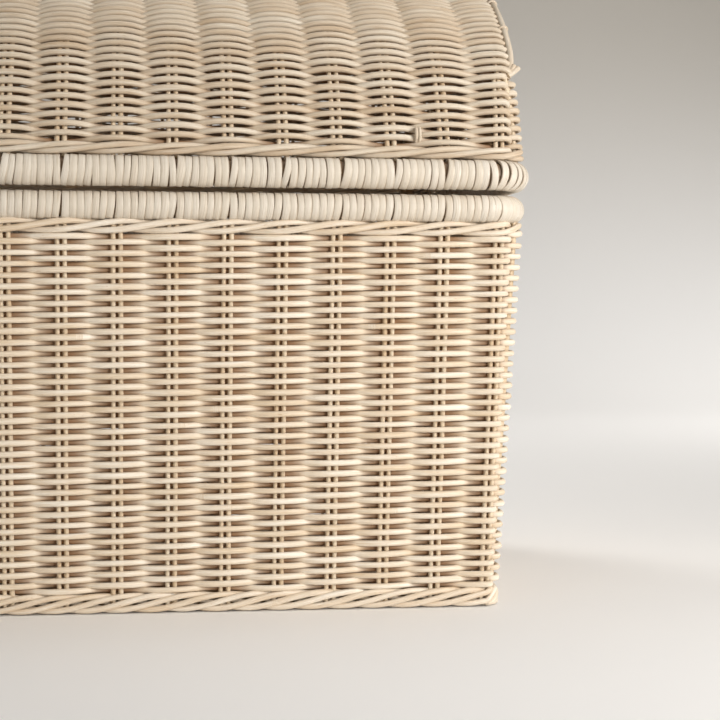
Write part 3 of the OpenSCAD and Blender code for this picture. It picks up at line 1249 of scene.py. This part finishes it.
@dataclass
class TurnTree:
    """The node tree that sets one wound turn of strip on every station of a rim."""

    name: str = "Wound strip"

    def build(self) -> bpy.types.NodeTree:
        """Builds the tree.

        Returns:
            The geometry node tree.
        """
        tree = new_tree(self.name, {
            "Turn": "Object", "Looseness": "Float", "Width spread": "Float", "Seed": "Int",
            "Finish": "Material"})
        g = Graph(tree)
        given = g.add("NodeGroupInput")
        turn = g.add("GeometryNodeObjectInfo", None, {"Object": given["Turn"]})["Geometry"]
        twist = g.named("twist", "FLOAT_VECTOR")

        def spread(amount: Signal, seed: Signal) -> Signal:
            """A random scale for each turn, one on average."""
            return g.add("FunctionNodeRandomValue", {"data_type": "FLOAT"}, {
                "Min": 1.0 - amount, "Max": 1.0 + amount, "Seed": seed})[1]

        size = spread(given["Looseness"], given["Seed"])
        wide = spread(given["Width spread"], given["Seed"] + 1.0)
        scale = g.triple(size, size, wide)
        set_out = g.add("GeometryNodeInstanceOnPoints", None, {
            "Points": given["Geometry"], "Instance": turn, "Rotation": twist, "Scale": scale})[0]
        each = g.add("GeometryNodeInputIndex")[0]
        marked = g.add("GeometryNodeStoreNamedAttribute", {"data_type": "FLOAT", "domain": "INSTANCE"}, {
            "Geometry": set_out, "Name": "cane", "Value": each * 1.37})[0]
        g.give(marked, given["Finish"])
        return tree


@dataclass
class WoundRim:
    """Flat cane strip wound side by side on a rim pole."""

    plan: Plan
    tree: bpy.types.NodeTree
    finish: bpy.types.Material
    name: str
    body: Body
    bend: float
    z: float
    radius: float
    node: str
    corner_step: float
    step: float = 4.85 * MM
    width: float = 4.9 * MM
    thickness: float = 1.5 * MM
    slant: float = -4.0
    slant_spread: float = 1.1
    place_spread: float = 0.18 * MM
    notch: float = 3.2
    notch_below: bool = True
    curl: float = 0.6 * MM
    looseness: float = 0.02
    width_spread: float = 0.07
    unruly: float = 1.0
    segments: int = 24
    seed: int = 3

    def turn_mesh(self) -> bpy.types.Mesh:
        """One turn of strip, its axis along Z.

        Returns:
            A closed band with a slightly crowned face.
        """
        w, t, r = self.width / 2, self.thickness, self.radius
        section = [(-w, -t), (-w, -0.22 * MM), (-0.84 * w, -0.03 * MM), (0.0, 0.0),
                   (0.84 * w, -0.03 * MM), (w, -0.22 * MM), (w, -t)]
        verts, ring, across = [], [], []
        for k in range(self.segments):
            angle = 2 * math.pi * k / self.segments
            for z, drop in section:
                curl = self.curl * (math.cos(2 * angle) - 1) / 2
                verts.append(((r + drop) * math.cos(angle), (r + drop) * math.sin(angle), z + curl))
                ring.append((math.cos(angle), math.sin(angle), 0.0))
                across.append(z / w)
        faces = lattice(self.segments, len(section), flip=True)
        mesh = smooth_mesh(self.name + "_turn", verts, faces)
        mark(mesh, "ring", ring)
        mark(mesh, "across", across)
        return mesh

    def stations(self, outline: Outline) -> np.ndarray:
        """Where the turns sit along the rim.

        Args:
            outline: The rim's axis.

        Returns:
            Distances along it.
        """
        quarter = math.pi / 2 * outline.radius
        places: list[float] = []
        start = -outline.half_x
        for half in (outline.half_x, outline.half_y) * 2:
            for run, step in ((2 * half, self.step), (quarter, self.corner_step)):
                count = max(round(run / step), 1)
                places += [start + run * (k + 0.5) / count for k in range(count)]
                start += run
        return np.array(places)

    def build(self) -> None:
        """Builds the wound rim."""
        rng = np.random.default_rng(self.seed)
        outline = Outline(self.plan.cx, self.plan.cy, self.bend)
        s = self.stations(outline)
        point, out = outline.at(s)
        pairs = self.plan.pair_stations(outline, 1.0)
        pairs = np.concatenate([pairs - outline.length, pairs, pairs + outline.length])
        after = np.searchsorted(pairs, s)
        share = (s - pairs[after - 1]) / (pairs[after] - pairs[after - 1])
        opening = (share - 0.5) * 2 * self.notch * (-1 if self.notch_below else 1)
        lean = self.slant + opening + rng.normal(0, self.slant_spread * self.unruly, len(s))
        shift = (0.5 - share) * math.radians(self.notch) * self.radius * 1.5
        twists = []
        for k in range(len(s)):
            x_axis = Vector((*out[k], 0.0))
            z_axis = Vector((-out[k][1], out[k][0], 0.0))
            basis = Matrix((x_axis, z_axis.cross(x_axis), z_axis)).transposed()
            tilt = Matrix.Rotation(math.radians(lean[k]), 3, "X")
            twists.append((basis @ tilt).to_euler())
        tangent = np.column_stack([-out[:, 1], out[:, 0]])
        shift = shift + rng.normal(0, self.place_spread * self.unruly, len(s))
        point = point + tangent * shift[:, None]
        mesh = bpy.data.meshes.new(self.name)
        mesh.from_pydata(np.column_stack([point, np.full(len(s), self.z)]), [], [])
        mark(mesh, "twist", [tuple(t) for t in twists])
        turn = placed(self.name + "_turn", self.turn_mesh())
        piece = with_tree(self.name, mesh, self.tree, {
            "Turn": turn, "Looseness": self.looseness, "Width spread": self.width_spread * self.unruly,
            "Seed": self.seed, "Finish": self.finish})
        bpy.data.objects.remove(turn)
        finish_piece(piece, self.body, (self.node,))


@dataclass
class RingHinge:
    """Bound strip that holds both back rims; the lid's rim turns inside it."""

    plan: Plan
    finish: bpy.types.Material
    side: Side
    turns: int = 5
    thickness: float = 1.6 * MM
    hold: float = 0.05 * MM
    play: float = 0.45 * MM
    slant_spread: float = 0.5 * MM
    steps: int = 44
    seed: int = 5

    def build(self) -> None:
        """Builds the bound strips."""
        plan = self.plan
        node = f"hinge_ring_{self.side.name.lower()}"
        low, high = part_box(node)
        width = (high[0] - low[0]) / self.turns
        centres = np.array([[plan.cy + plan.corner_r, plan.base_rim_z],
                            [plan.cy + plan.lid_bend, plan.lid_rim_z]])
        radii = np.array([plan.base_rim_r + self.hold, plan.lid_rim_r + self.play])
        w, t = width / 2, self.thickness
        section = [(-w, 0.0), (-w, 0.65 * t), (-0.6 * w, 0.95 * t),
                   (0.6 * w, 0.95 * t), (w, 0.65 * t), (w, 0.0)]
        verts, faces, ring, across, cane = [], [], [], [], []
        rng = np.random.default_rng(self.seed)
        for turn in range(self.turns):
            x = low[0] + width * (turn + 0.5)
            faces += lattice(self.steps, len(section), first=len(verts))
            slant = rng.normal(0, self.slant_spread)
            for k in range(self.steps):
                angle = 2 * math.pi * k / self.steps
                d = np.array([math.cos(angle), math.sin(angle)])
                pick = int(np.argmax(centres @ d + radii))
                for across_x, stand in section:
                    q = centres[pick] + (radii[pick] + stand) * d
                    verts.append((x + across_x * 0.98 + slant * math.sin(angle), q[0], q[1]))
                    ring.append((d[0] * 2, d[1] * 2, 0.0))
                    across.append(across_x / w)
                    cane.append(turn * 2.1 + 0.4)
        mesh = smooth_mesh(node + "_binding", verts, faces)
        for title, values in (("ring", ring), ("across", across), ("cane", cane)):
            mark(mesh, title, values)
        mesh.materials.append(self.finish)
        finish_piece(placed(node + "_binding", mesh), Body.BASE, (node,))


# ---------- lid ----------


@dataclass
class LidWeave:
    """The barrel lid: closed rows low down, then rows that turn back at each end, and D-shaped ends."""

    plan: Plan
    weaver: Weaver
    canes: StrandMaker
    edge_start: float = 36.5
    close_rows: float = 0.92
    row_gap: float = 1.5 * MM
    band_room: float = 4.2 * MM
    wale_room: float = 3.2 * MM
    low_corner: float = 13 * MM
    end_play: float = 0.6 * MM
    end_stop: float = 3 * MM
    end_edge: float = 2 * MM
    end_room: float = 9 * MM
    least_half: float = 12 * MM
    edge_pair_in: float = 8 * MM
    turn_out: float = 6.4 * MM
    back_swell: float = 1.12
    back_reach: float = 0.82
    trim_r: float = 2.3 * MM
    trim_steps: int = 90
    lashings: int = 7
    tie_x: tuple[float, ...] = (0.214, -0.131)
    tie_z: float = 0.3135
    tie_height: float = 8 * MM
    tie_bow: float = 2.4 * MM
    tie_steps: tuple[float, ...] = (-1.1 * MM, 1.1 * MM)
    wale_rods: int = 3
    wale_rise: float = 4.8 * MM
    stake_sink: float = 2 * MM
    stake_steps: int = 48
    upright_steps: int = 8

    @property
    def band_low(self) -> float:
        """Height of the first closed row."""
        return self.plan.high("lid_lower_wale", 2) + 1.0 * MM

    @property
    def band_high(self) -> float:
        """Height where the barrel's ends begin."""
        return self.plan.arch_z + self.plan.arch_r * math.sin(math.radians(self.edge_start))

    @property
    def end_x(self) -> float:
        """X of the D-shaped ends' middle surface."""
        return self.plan.cx + self.plan.corner_r

    @property
    def edge_x(self) -> float:
        """X that the barrel's rows reach."""
        return self.end_x + self.plan.end_spread

    def band_outline(self, z: float) -> Outline:
        """Plan of a closed row at a height.

        Args:
            z: The height.

        Returns:
            The outline, whose corners tighten upwards.
        """
        share = (z - self.band_low) / (self.band_high - self.band_low)
        radius = self.plan.corner_r + (self.low_corner - self.plan.corner_r) * share
        half_x = self.end_x + self.plan.end_spread * (1 - 0.4 * share)
        return Outline(half_x - radius, self.plan.arch_y(z) - radius, radius)

    def lean(self, z: float) -> float:
        """Lean of the barrel's surface at a height, in radians."""
        return math.asin(min((z - self.plan.arch_z) / self.plan.arch_r, 1.0))

    def build(self) -> None:
        """Builds the whole lid."""
        self.build_band()
        self.build_barrel()
        for side in Side:
            self.build_end(side)
            self.build_trim(side)
        self.build_ties()
        self.build_stakes()
        self.build_wale()

    def build_band(self) -> None:
        """Builds the rows that go round the corners."""
        plan = self.plan
        count = round((self.band_high - self.band_low) / (plan.row_pitch * self.close_rows))
        heights = np.linspace(self.band_low, self.band_high - self.row_gap, count + 1)
        rows = [self.weaver.loop(self.band_outline(z), 1.0, z, count - k, self.lean(z))
                for k, z in enumerate(heights)]
        clear_of_rings(rows[:2], plan, plan.cy + plan.lid_bend, plan.lid_rim_z,
                       plan.lid_rim_r + self.band_room)
        for row in rows:
            row.thick = np.where(row.points[:, 1] > 0, self.back_swell, 1.0)
            row.reach = np.where(row.points[:, 1] > 0, self.back_reach, 1.0)
        piece = self.canes.piece("lid_band_weave", rows, plan.cane_r, plan.weave_depth)
        finish_piece(piece, Body.LID, ("lid_front_weave", "lid_back_weave"))

    def build_barrel(self) -> None:
        """Builds the rows over the top, which turn back at the ends."""
        plan = self.plan
        edge = self.edge_x - self.edge_pair_in
        pairs = np.array([-edge, *plan.front_pairs, edge])
        first = math.radians(self.edge_start) + 0.6 * plan.row_pitch / plan.arch_r
        count = round((math.pi - 2 * first) * plan.arch_r / plan.row_pitch / 2) * 2
        angles = np.linspace(first, math.pi - first, count + 1)
        front = count // 4 * 2

        def place(x: np.ndarray, angle: np.ndarray, waver: np.ndarray) -> tuple[np.ndarray, np.ndarray]:
            """Points and outward directions on the barrel.

            Args:
                x: Places from end to end.
                angle: Angles over the barrel from its front, in radians.
                waver: How far each point strays from its row.

            Returns:
                The points and directions, one row each.
            """
            turn = angle + waver / plan.arch_r
            out = np.column_stack([np.zeros(len(x)), -np.cos(turn), np.sin(turn)])
            points = out * plan.arch_r + np.array([0.0, 0.0, plan.arch_z])
            points[:, 0] = x
            return points, out

        for part, levels in (("front", angles[:front]), ("back", angles[front:])):
            rows = [Row(pairs, level, 0) for level in levels]
            cane = self.weaver.back_and_forth(rows, place, self.turn_out)
            cane.thick = self.back_swell if part == "back" else 1.0
            cane.reach = self.back_reach if part == "back" else 1.0
            piece = self.canes.piece(f"lid_barrel_{part}", [cane], plan.cane_r, plan.weave_depth)
            finish_piece(piece, Body.LID, ("lid_top_weave", f"lid_{part}_weave"))

    def build_end(self, side: Side) -> None:
        """Builds one D-shaped end above the closed rows.

        Args:
            side: Which end.
        """
        plan = self.plan
        inner = plan.arch_r - plan.weave_depth - plan.cane_r - self.end_play
        top = plan.arch_z + inner - self.end_stop
        count = round((top - self.band_high) / plan.row_pitch)
        heights = np.linspace(self.band_high + self.row_gap, top, count + 1)
        rows = []
        for z in heights:
            edge = math.sqrt(max(inner ** 2 - (z - plan.arch_z) ** 2, self.least_half ** 2)) - self.end_edge
            kept = [j for j in range(-plan.end_pairs, plan.end_pairs + 1)
                    if abs(j * plan.end_pitch) < edge - self.end_room]
            pairs = np.array([-edge, *(j * plan.end_pitch for j in kept), edge])
            rows.append(Row(pairs, z, kept[0] + side.value // 2))

        def place(y: np.ndarray, z: np.ndarray, waver: np.ndarray) -> tuple[np.ndarray, np.ndarray]:
            """Points and outward directions on the end."""
            points = np.column_stack([np.full(len(y), side.value * self.end_x), y, z + waver])
            return points, np.tile([float(side.value), 0.0, 0.0], (len(y), 1))

        cane = self.weaver.back_and_forth(rows, place, 1.5 * MM, turn_samples=4)
        name = side.name.lower()
        piece = self.canes.piece(f"lid_{name}_end_rows", [cane], plan.cane_r, plan.weave_depth)
        finish_piece(piece, Body.LID, (f"lid_{name}_end_weave",))

    def build_trim(self, side: Side) -> None:
        """Builds the cane that trims one end of the barrel, and its small lashings.

        Args:
            side: Which end.
        """
        plan = self.plan
        name = side.name.lower()
        low = math.radians(self.edge_start + 0.5)
        angles = np.linspace(low, math.pi - low, self.trim_steps)
        out = np.column_stack([np.zeros(len(angles)), -np.cos(angles), np.sin(angles)])
        tuck = np.exp(-np.minimum(angles - low, math.pi - low - angles) * plan.arch_r / (7 * MM))
        points = out * (plan.arch_r + 2.2 * MM - 4 * MM * tuck)[:, None] + np.array([0.0, 0.0, plan.arch_z])
        points[:, 0] = side.value * (self.edge_x + 0.9 * MM - 5 * MM * tuck)
        strands = [Strand.plain(points, out, self.trim_r / plan.cane_r)]
        for angle in np.linspace(low + 0.25, math.pi - low - 0.25, self.lashings):
            strands.append(self.lashing(side, angle))
        for back in (False, True):
            strands += self.cut_ends(side, math.pi - low if back else low)
        piece = self.canes.piece(f"lid_{name}_trim", strands, plan.cane_r, 0.0, wobble=0.8 * MM)
        finish_piece(piece, Body.LID, (f"lid_{name}_edge_strand",))

    def lashing(self, side: Side, angle: float) -> Strand:
        """A thin tie round the trim.

        Args:
            side: Which end.
            angle: Place along the barrel.

        Returns:
            The tie.
        """
        plan = self.plan
        turn = np.linspace(0, 2 * math.pi, 13)[:-1]
        reach = self.trim_r + 0.5 * MM
        out = np.array([0.0, -math.cos(angle), math.sin(angle)])
        along = np.array([0.0, math.sin(angle), math.cos(angle)])
        axis = np.array([side.value * (self.edge_x + 0.2 * MM), 0, plan.arch_z])
        across = np.array([float(side.value), 0.0, 0.0])
        points = out * (plan.arch_r + 1.6 * MM) + axis + np.outer(np.cos(turn) * reach * 1.3, across)
        points += np.outer(np.sin(turn) * reach * 1.2, out)
        points += np.outer(np.cos(turn) * 1.2 * MM, along)
        return Strand.plain(points, out, 0.4, closed=True)

    def cut_ends(self, side: Side, angle: float) -> list[Strand]:
        """Two short cane ends that stick out where the trim begins.

        Args:
            side: Which end.
            angle: Where the trim begins.

        Returns:
            The two ends.
        """
        plan = self.plan
        out = np.array([0.0, -math.cos(angle), math.sin(angle)])
        upward = np.array([0.0, math.sin(angle), math.cos(angle)]) * (1 if angle < math.pi / 2 else -1)
        across = np.array([float(side.value), 0.0, 0.0])
        axis = np.array([side.value * (self.edge_x - 3 * MM), 0.0, plan.arch_z])
        root = out * (plan.arch_r + 0.5 * MM) + axis
        ends = []
        for tilt, length, thick in ((0.95, 8.5 * MM, 1.0), (0.5, 10.5 * MM, 0.8)):
            run = np.linspace(0, length, 6)[:, None]
            points = root + run * (across * tilt + upward * 0.85) + out * run ** 2 * 14
            ends.append(Strand.plain(points, out, thick))
        return ends

    def build_ties(self) -> None:
        """Builds the small upright ties that hold joined canes low on the lid."""
        plan, z = self.plan, self.tie_z
        rise = np.linspace(-self.tie_height / 2, self.tie_height / 2, 7)
        bow = (plan.weave_depth + self.tie_bow) * (1 - (2 * rise / self.tie_height) ** 6 * 0.8)
        lean = self.lean(z)
        strands = []
        for x in self.tie_x:
            for back in (1, -1):
                out = np.array([0.0, -back * math.cos(lean), math.sin(lean)])
                for step in self.tie_steps:
                    points = np.array([[back * x + step, -back * plan.arch_y(z + r), z + r] for r in rise])
                    points += out * bow[:, None]
                    strands.append(Strand.plain(points, out, 0.62))
        piece = self.canes.piece("lid_ties", strands, plan.cane_r, 0.0, wobble=0.2 * MM)
        finish_piece(piece, Body.LID, ("lid_front_weave", "lid_back_weave"))

    def build_stakes(self) -> None:
        """Builds the bent pairs over the barrel and the upright pairs in band and ends."""
        plan = self.plan
        edge = self.edge_x - self.edge_pair_in
        start = math.asin((plan.high("lid_rim_wrap", 2) - self.stake_sink - plan.arch_z) / plan.arch_r)
        strands = []
        for x in (-edge, *plan.front_pairs, edge):
            first = start if abs(x) < edge else math.radians(self.edge_start - 4)
            angles = np.linspace(first, math.pi - first, self.stake_steps)
            out = np.column_stack([0 * angles, -np.cos(angles), np.sin(angles)])
            for shift in PAIR:
                points = out * plan.arch_r + np.array([x + shift * plan.pair_gap, 0.0, plan.arch_z])
                strands.append(Strand.plain(points, out))
        piece = self.canes.piece("lid_bent_stakes", strands, plan.stake_r, 0.0, wobble=0.6 * MM, upright=True)
        finish_piece(piece, Body.LID, ("lid_arch_stakes",))
        for side in Side:
            self.build_end_stakes(side)

    def build_end_stakes(self, side: Side) -> None:
        """Builds the upright pairs of one end, and those on its corners.

        Args:
            side: Which end.
        """
        plan = self.plan
        foot = plan.high("lid_rim_wrap", 2) - self.stake_sink
        strands = []
        for k in range(-plan.end_pairs, plan.end_pairs + 1):
            for shift in PAIR:
                y = k * plan.end_pitch + shift * plan.pair_gap
                top = plan.arch_z + math.sqrt((plan.arch_r - plan.skin) ** 2 - y * y) - 1 * MM
                z = np.linspace(foot, top, self.upright_steps)
                points = np.column_stack([np.full(len(z), side.value * self.end_x), np.full(len(z), y), z])
                strands.append(Strand.plain(points, [side.value, 0, 0]))
        heights = np.linspace(foot, self.band_high + 1 * MM, self.upright_steps)
        for front in (-1, 1):
            for turn in plan.corner_turns:
                for shift in PAIR:
                    points = []
                    for z in heights:
                        outline = self.band_outline(z)
                        angle = math.radians(turn) + shift * plan.pair_gap / outline.radius
                        points.append((side.value * (outline.half_x + outline.radius * math.sin(angle)),
                                       front * (outline.half_y + outline.radius * math.cos(angle)), z))
                    strands.append(Strand.plain(np.array(points), UP))
        name = side.name.lower()
        piece = self.canes.piece(f"lid_{name}_upright_stakes", strands, plan.stake_r, 0.0, wobble=0.5 * MM,
                                 upright=True)
        finish_piece(piece, Body.LID, (f"lid_{name}_end_stakes",))

    def build_wale(self) -> None:
        """Builds the twined band on the lid's rim."""
        plan = self.plan
        z = (plan.low("lid_lower_wale", 2) + plan.high("lid_lower_wale", 2)) / 2
        outline = Outline(plan.cx + plan.end_spread, plan.cy, plan.corner_r)
        rods = self.weaver.wale(outline, 1.0, z, self.wale_rods, self.wale_rise)
        clear_of_rings(rods, plan, plan.cy + plan.lid_bend, plan.lid_rim_z, plan.lid_rim_r + self.wale_room)
        piece = self.canes.piece("lid_lower_wale_rods", rods, plan.cane_r, 0.0, wobble=0.3 * MM)
        finish_piece(piece, Body.LID, ("lid_lower_wale",))


# ---------- frame parts that stay ----------


@dataclass
class FrameParts:
    """CAD nodes that show as they are, with their finishes."""

    def dress(self) -> None:
        """Gives every remaining node its finish."""
        upright = PoleFinish("rattan_upright", axis=2).material()
        lengthways = PoleFinish("rattan_lengthways", axis=0).material()
        crossways = PoleFinish("rattan_crossways", axis=1).material()
        steel = SteelFinish("nail_steel").material()
        core = PoleFinish("rattan_core", axis=0, light=(0.30, 0.20, 0.11),
                          dark=(0.16, 0.09, 0.045)).material()
        finishes = {"corner_post_front_left": upright, "corner_post_front_right": upright,
                    "corner_post_back_left": upright, "corner_post_back_right": upright,
                    "bottom_frame": lengthways, "base_rim_pole": core, "lid_rim_pole": core,
                    "floor_bars": crossways, "lid_left_arch_pole": crossways,
                    "lid_right_arch_pole": crossways, "frame_nails": steel}
        for name, material in finishes.items():
            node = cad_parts[name]
            if not node.material_slots:
                node.data.materials.append(material)
            for held in node.material_slots:
                held.material = material
            LOG.info("%s dressed", name)


# ---------- studio ----------


@dataclass
class Studio:
    """Pale sweep, soft lights and the camera."""

    camera_at: tuple[float, float, float] = (0.034, -1.297, 0.199)
    turn: float = 7.3
    dip: float = 1.69
    roll: float = -0.15
    lens: float = 85.0
    beam: float = math.radians(105)
    floor_half_x: float = 4.0
    floor_half_y: float = 2.9
    wall_top: float = 4.5
    back_y: float = 3.3
    bend: float = 1.3
    floor_corner: float = 0.4
    sweep_points: int = 96
    bend_steps: int = 13
    room_light: float = 0.24

    def build(self) -> None:
        """Builds backdrop, lights and camera."""
        self.build_sweep()
        self.build_lights()
        self.build_camera()
        bpy.context.scene.view_settings.view_transform = "Standard"

    def build_sweep(self) -> None:
        """Builds the floor, which bends up into walls all round."""
        flat = Outline(self.floor_half_x, self.floor_half_y, self.floor_corner)
        point, out = flat.at(np.arange(self.sweep_points) / self.sweep_points * flat.length)
        profile = [(self.bend * math.sin(a), self.bend * (1 - math.cos(a)))
                   for a in np.linspace(0, math.pi / 2, self.bend_steps)]
        profile.append((self.bend, self.wall_top))
        middle = self.back_y - self.bend - self.floor_half_y - self.floor_corner
        verts: list[tuple[float, float, float]] = []
        for reach, height in profile:
            ring = point + out * reach
            verts += [(x, y + middle, height) for x, y in ring]
        floor = tuple(range(len(point)))
        walls = lattice(len(profile), len(point), closed=False)
        mesh = smooth_mesh("studio_sweep", verts, [floor, *walls])
        mesh.flip_normals()
        mesh.polygons[0].flip()
        mesh.materials.append(StudioFinish("sweep_paper").material())
        placed("studio_sweep", mesh)

    def light(self, name: str, at: tuple[float, float, float], aim: tuple[float, float, float], size: float,
              power: float, colour: Colour) -> None:
        """Adds one soft area light.

        Args:
            name: Its name.
            at: Its place.
            aim: The point it faces.
            size: Its width.
            power: Its power in watts.
            colour: Its colour.
        """
        lamp = bpy.data.lights.new(name, "AREA")
        lamp.shape = "DISK"
        lamp.size = size
        lamp.energy = power
        lamp.color = colour
        lamp.spread = self.beam
        holder = placed(name, lamp)
        holder.location = at
        holder.rotation_euler = (Vector(aim) - Vector(at)).to_track_quat("-Z", "Y").to_euler()

    def build_lights(self) -> None:
        """Adds six soft lamps and the room's own light.

        The key stands low on the right and a weak fill on the left. The others light the far floor,
        the lid's top, the floor beside the right front corner, and the trunk from behind.
        """
        self.light("key", (1.25, -1.35, 0.52), (0.12, 0.0, 0.15), 0.85, 9.2, (1.0, 0.983, 0.965))
        self.light("fill", (-1.5, -1.9, 0.5), (0.0, 0.0, 0.2), 1.4, 2.5, (1.0, 0.98, 0.95))
        self.light("wash", (2.6, 0.9, 1.3), (0.95, 2.1, 0.0), 1.15, 20.5, (1.0, 0.99, 0.98))
        self.light("top", (0.35, 0.15, 1.75), (0.1, 0.05, 0.4), 1.4, 2.1, (1.0, 0.99, 0.975))
        self.light("pool", (0.8, -0.8, 1.1), (0.62, -0.7, 0.0), 0.5, 1.6, (1.0, 0.99, 0.98))
        self.light("rear", (-1.7, 2.4, 1.1), (0.0, 0.2, 0.2), 1.6, 22.0, (1.0, 0.98, 0.95))
        world = bpy.data.worlds.new("studio")
        world.use_nodes = True
        background = world.node_tree.nodes["Background"]
        background.inputs["Color"].default_value = (1.0, 0.985, 0.96, 1.0)
        background.inputs["Strength"].default_value = self.room_light
        bpy.context.scene.world = world

    def build_camera(self) -> None:
        """Adds the camera."""
        data = bpy.data.cameras.new("camera")
        data.lens = self.lens
        data.sensor_width = 36.0
        camera = placed("camera", data)
        camera.location = self.camera_at
        facing = Euler((math.radians(90 - self.dip), 0.0, -math.radians(self.turn)), "XYZ").to_matrix()
        spin = Matrix.Rotation(math.radians(-self.roll), 3, "Z")
        camera.rotation_euler = (facing @ spin).to_euler()
        bpy.context.scene.camera = camera


def main() -> None:
    """Builds the trunk and its studio, and logs the faces of each piece."""
    logging.basicConfig(level=logging.INFO, format="%(message)s")
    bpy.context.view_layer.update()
    plan = Plan()
    tree = StrandTree().build()
    weave = CaneFinish("woven_cane").material()
    # Painted shade: the whole lid takes a darker copy of the woven cane, standing in for the shade on the
    # lid's top under the low front light.
    lid_cane = CaneFinish("lid_cane", light=(0.72, 0.645, 0.53), dark=(0.58, 0.45, 0.31)).material()
    # The stakes' cane has no painted shade.
    stake = CaneFinish("stake_cane", light=(0.84, 0.74, 0.58), dark=(0.66, 0.50, 0.32),
                       shade=0.0).material()
    strip = StripFinish("wound_strip").material()
    canes = StrandMaker(tree, weave, stake)
    BaseWeave(plan, Weaver(plan), canes).build()
    FloorPanel(plan, Weaver(plan), canes).build()
    turns = TurnTree().build()
    WoundRim(plan, turns, strip, "base_rim_strip", Body.BASE, plan.corner_r, plan.base_rim_z, plan.base_rim_r,
             "base_rim_wrap", corner_step=3.3 * MM).build()
    WoundRim(plan, turns, strip, "lid_rim_strip", Body.LID, plan.lid_bend, plan.lid_rim_z, plan.lid_rim_r,
             "lid_rim_wrap", corner_step=5.2 * MM, notch_below=False, notch=5.0, unruly=1.7, seed=8).build()
    for side in Side:
        RingHinge(plan, strip, side).build()
    LidWeave(plan, Weaver(plan, seed=23), StrandMaker(tree, lid_cane, stake)).build()
    FrameParts().dress()
    Studio().build()


if __name__ == "__main__":
    main()
